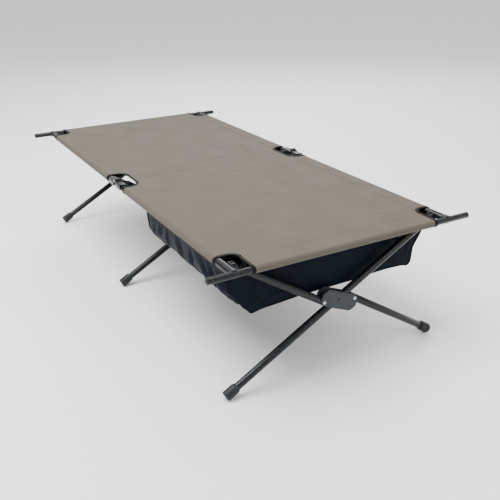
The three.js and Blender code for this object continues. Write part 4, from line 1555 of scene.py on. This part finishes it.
@dataclass
class StorageTray:
    """The cloth tray slung between the rails under the near half."""

    cloth: float = 0.9 * MM
    top_inset: float = 5.0 * MM
    knee_inset: float = 13.0 * MM
    knee_drop: float = 74.0 * MM
    bottom_inset: float = 97.0 * MM
    floor_rise: float = 4.0 * MM
    corner_droop: float = 11.0 * MM
    droop_reach: float = 28.0 * MM
    drawn_corner: tuple[float, float] = (82.0 * MM, 16.0 * MM)
    drawn_knee: tuple[float, float] = (68.0 * MM, 75.0 * MM)
    columns: int = 128
    rows: int = 72
    keep: float = 0.156
    wall_height: float = 185.0 * MM
    calm_reach: float = 190.0 * MM
    near_fan: CornerFan = CornerFan(8.0 * MM, 19.0, 0.4, 1.3, 7.0, 210.0 * MM, 70.0 * MM)
    far_fan: CornerFan = CornerFan(5.0 * MM, 19.0, 1.1, 1.3, 7.0, 210.0 * MM, 70.0 * MM)
    wall_fan: CornerFan = CornerFan(1.1, 15.0, 0.0, 1.2, 5.0, 170.0 * MM, 60.0 * MM)

    def __post_init__(self) -> None:
        """Take the tray's space from the frame."""
        self.low, self.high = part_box("storage_tray")
        self.rail_y = self.high.y

    def section(self, drawn: float) -> Grid:
        """The tray's outline across the bed, (across, up), from the left rail to the right one.

        Args:
            drawn: how far the right side is drawn in under the bed, from 0 to 1.
        """
        top = self.high.z - 0.5 * MM
        floor = self.low.z + self.floor_rise
        left = np.array([
            (-self.rail_y + self.top_inset, top),
            (-self.rail_y + self.knee_inset, top - self.knee_drop),
            (-self.rail_y + self.bottom_inset, floor),
        ])
        loose = left[::-1] * np.array([-1.0, 1.0])
        pulled = np.array([
            (self.rail_y - self.drawn_corner[0], floor + self.drawn_corner[1]),
            (self.rail_y - self.drawn_knee[0], floor + self.drawn_knee[1]),
            loose[2],
        ])
        line = even(np.concatenate([left, (1.0 - drawn) * loose + drawn * pulled]), 2.0 * MM)
        for _ in range(5):
            line[1:-1] = 0.25 * line[:-2] + 0.5 * line[1:-1] + 0.25 * line[2:]
        return spaced(line, self.columns)

    def body_grid(self) -> tuple[Grid, Grid]:
        """The sides and floor of the tray.

        Returns:
            The places and where they lie on the flat cloth.
        """
        stations = np.linspace(self.low.x + 1 * MM, self.high.x - 1 * MM, self.rows)
        drawn = eased(stations, self.high.x - 0.26, self.high.x - 0.01)
        sections = np.stack([self.section(float(share)) for share in drawn])
        travel = travelled(sections[0])
        tangent = unit(np.gradient(sections, axis=1))
        outward = np.stack([tangent[..., 1], -tangent[..., 0]], axis=-1)
        x = np.repeat(stations[:, None], self.columns + 1, axis=1)
        line = sections + outward * self.folds(x, travel)[..., None]
        line[..., 1] -= self.droop(x, line[..., 0])
        places = np.concatenate([x[..., None], line], axis=-1)
        cloth = np.stack([np.repeat(travel[None, :], len(stations), axis=0), x], axis=-1)
        return places, cloth

    def droop(self, x: Grid, across: Grid) -> Grid:
        """How much lower the cloth hangs: most at the bottom corners of the two ends."""
        edge = self.rail_y - self.bottom_inset + 4 * MM
        middle, half = (self.low.x + self.high.x) / 2, (self.high.x - self.low.x) / 2
        ends = 0.35 + 0.65 * np.abs((x - middle) / half) ** 3
        return self.corner_droop * ends * np.exp(-np.abs(np.abs(across) - edge) / self.droop_reach)

    def folds(self, x: Grid, travel: Grid) -> Grid:
        """Outward push of the cloth: slanting gathers and corner fans on the sides, and a soft floor."""
        total = travel[-1]
        down = np.minimum(travel, total - travel)[None, :]
        wall = 1.0 - eased(down, 0.16, 0.21)
        below_hem = eased(down, 0.0, 0.05)
        slant = x * 52.0 - down * 24.0 + 3.4 * np.sin(x * 11.0 + 0.7) + 1.2 * np.sin(x * 29.0 + down * 8.0)
        gathers = 2.6 * MM * (np.sin(slant) + 0.55 * np.sin(1.83 * slant + 9.0 * down + 1.1))
        fans = np.zeros_like(x)
        up = np.maximum(self.wall_height - down, 0.0)
        for end, fan in ((self.high.x, self.near_fan), (self.low.x, self.far_fan)):
            away = np.abs(x - end)
            fans = fans + fan.height(away, up)
            gathers = gathers * (1.0 - 0.8 * np.exp(-((np.hypot(up, away) / self.calm_reach) ** 2)))
        belly = 6.0 * MM * np.sin(np.pi * np.clip(down / 0.19, 0.0, 1.0))
        soft = 2.2 * MM * np.sin(x * 27.0 + 1.0) * np.sin(travel[None, :] * 19.0) * eased(down, 0.21, 0.30)
        return wall * below_hem * (gathers + fans + belly) + soft

    def end_grid(self, row: Grid, belly: float) -> tuple[Grid, Grid]:
        """An end wall, filled in between the four sides of one end of the body.

        Args:
            row: the body's places along that end, from the left rail to the right one.
            belly: how far the wall swells outwards, signed along the bed.

        Returns:
            The places and where they lie on the flat cloth.
        """
        corner = int(np.argmin(np.abs(row[:, 1] + self.rail_y - self.bottom_inset + 2 * MM)))
        left, right = row[:corner + 1], row[::-1][:corner + 1]
        bottom = row[corner:len(row) - corner]
        top = np.linspace(row[0], row[-1], len(bottom))
        down = np.linspace(0.0, 1.0, len(left))[:, None, None]
        over = np.linspace(0.0, 1.0, len(bottom))[None, :, None]
        places = (1 - down) * top[None] + down * bottom[None]
        places = places + (1 - over) * left[:, None] + over * right[:, None]
        places -= (1 - down) * ((1 - over) * top[0] + over * top[-1])
        places -= down * ((1 - over) * bottom[0] + over * bottom[-1])
        swell = np.sin(np.pi * down[..., 0]) ** 0.8 * np.sin(np.pi * over[..., 0]) ** 0.5
        ripple = 0.22 * np.sin(places[..., 1] * 41.0 + down[..., 0] * 2.0 + np.sin(places[..., 1] * 9.0))
        fans = sum(
            self.wall_fan.height(np.abs(places[..., 1] - end[1]), np.maximum(places[..., 2] - end[2], 0.0))
            for end in (bottom[0], bottom[-1])
        )
        places[..., 0] += belly * (swell * (1.0 + ripple) + fans * np.sqrt(swell))
        return places, places[..., 1:].copy()

    def dress(self, wardrobe: Wardrobe) -> None:
        """Build every piece of the tray and hand it over."""
        body = frame_body(Half.NEAR, Side.LEFT)
        places, cloth = self.body_grid()
        trough = cloth_piece("tray_trough", places, cloth, self.cloth, -AXIS_Y)
        wardrobe.dress(trough, TRAY_CLOTH, body, "storage_tray")
        walls, trim = [], []
        for title, index, belly in (("near", -1, 4.0 * MM), ("far", 0, -4.0 * MM)):
            grid, flat = self.end_grid(places[index], belly)
            outward = AXIS_X if title == "near" else -AXIS_X
            wall = cloth_piece(f"tray_{title}_wall", grid, flat, self.cloth, outward, False)
            wardrobe.dress(wall, TRAY_CLOTH, body)
            walls.append(wall)
            piping = self.piping(f"tray_{title}_piping", places[index])
            wardrobe.dress(piping, BLACK_TAPE, body)
            trim.append(piping)
        hems = []
        for title, column in (("left", 0), ("right", -1)):
            hem = self.hem(f"tray_{title}_hem", places[:, column])
            wardrobe.dress(hem, BLACK_TAPE, body)
            hems.append(hem)
        for piece in (trough, *walls, *trim, *hems):
            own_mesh(piece)
        outline = places[0, :, 1:]
        flat = (float(np.ptp(outline[:, 0])), float(np.ptp(outline[:, 1])))

    def piping(self, name: str, row: Grid) -> Piece:
        """The bound seam round one end of the tray."""
        line = even(row, 6.0 * MM)
        tangent = unit(np.gradient(line, axis=0))
        sideways = np.tile([1.0, 0.0, 0.0], (len(line), 1))
        normal = unit(np.cross(sideways, tangent))
        turns = np.linspace(0.0, 2 * math.pi, 9)[:-1]
        outline = [(2.2 * MM * math.cos(turn), 2.2 * MM * math.sin(turn)) for turn in turns]
        return swept_band(name, line, sideways, normal, outline)

    def hem(self, name: str, line: Grid) -> Piece:
        """The taped hem along one rail."""
        deep, thick, corner = 15 * MM, 1.3 * MM, 0.6 * MM
        sideways = np.tile([0.0, 0.0, -1.0], (len(line), 1))
        normal = np.tile([0.0, 1.0, 0.0], (len(line), 1))
        upper = [(0.0, thick), (deep - 1 * MM, thick), (deep, corner)]
        lower = [(deep, -corner), (deep - 1 * MM, -thick)]
        return swept_band(name, line, sideways, normal, [(0.0, -thick), *upper, *lower])


# ---- studio -----------------------------------------------------------------------------
@dataclass
class Studio:
    """A plain pale floor, soft lights and the camera."""

    eye: tuple[float, float, float] = (2.4888, -1.2127, 1.2888)
    heading: float = math.radians(150.77)
    dip: float = math.radians(-23.63)
    roll: float = math.radians(-0.96)
    lens: float = 50.0
    sensor: float = 36.0

    def build(self) -> None:
        """Make the whole studio."""
        self.build_floor()
        self.build_lights()
        self.build_camera()

    def build_floor(self) -> None:
        """A wide pale floor."""
        let_go()
        bpy.ops.mesh.primitive_plane_add(size=60.0, location=(0, 0, 0))
        floor = named("studio_floor")
        material, _, shader = new_material("Pale floor")
        shader.inputs["Base Color"].default_value = (0.96, 0.96, 0.96, 1.0)
        shader.inputs["Roughness"].default_value = 0.9
        shader.inputs["Specular IOR Level"].default_value = 0.1
        floor.data.materials.append(material)

    def build_lights(self) -> None:
        """A bright surround, a large soft key from above and a low fill."""
        world = bpy.data.worlds.new("studio")
        world.use_nodes = True
        background = world.node_tree.nodes["Background"]
        background.inputs["Color"].default_value = (1.0, 1.0, 1.0, 1.0)
        background.inputs["Strength"].default_value = 1.0
        bpy.context.scene.world = world
        lamps = (
            ("key", (0.2, -1.6, 4.2), 3.0, 330.0),
            ("back", (-3.2, 2.4, 3.4), 2.6, 150.0),
            ("fill", (3.8, 1.2, 2.2), 1.6, 30.0),
        )
        for title, place, size, power in lamps:
            lamp = bpy.data.lights.new(title, "AREA")
            lamp.shape = "SQUARE"
            lamp.size = size
            lamp.energy = power
            holder = bpy.data.objects.new(title, lamp)
            bpy.context.scene.collection.objects.link(holder)
            holder.location = place
            holder.rotation_euler = (Vector((0, 0, 0.3)) - Vector(place)).to_track_quat("-Z", "Y").to_euler()

    def build_camera(self) -> None:
        """The camera, looking down the cot from beyond its near left corner."""
        level = math.cos(self.dip)
        gaze = Vector((level * math.cos(self.heading), level * math.sin(self.heading), math.sin(self.dip)))
        flat_right = gaze.cross(AXIS_Z).normalized()
        flat_up = flat_right.cross(gaze)
        right = math.cos(self.roll) * flat_right + math.sin(self.roll) * flat_up
        up = -math.sin(self.roll) * flat_right + math.cos(self.roll) * flat_up
        data = bpy.data.cameras.new("camera")
        data.lens = self.lens
        data.sensor_width = self.sensor
        camera = bpy.data.objects.new("camera", data)
        bpy.context.scene.collection.objects.link(camera)
        turn = Matrix((right, up, -gaze)).transposed().to_4x4()
        camera.matrix_world = Matrix.Translation(self.eye) @ turn
        bpy.context.scene.camera = camera


def main() -> None:
    """Build the studio and every sub-assembly in turn."""
    logging.basicConfig(level=logging.INFO, format="%(name)s: %(message)s")
    Studio().build()
    wardrobe = Wardrobe()
    SideRails().dress(wardrobe)
    EndBars().dress(wardrobe)
    pairs = [LegPair(pair) for pair in Pair]
    stock = LegStock(pairs[0])
    for pair in pairs:
        pair.dress(wardrobe, stock)
    stock.clear()
    BedFabric().dress(wardrobe)
    StorageTray().dress(wardrobe)
    let_go()


if __name__ == "__main__":
    main()
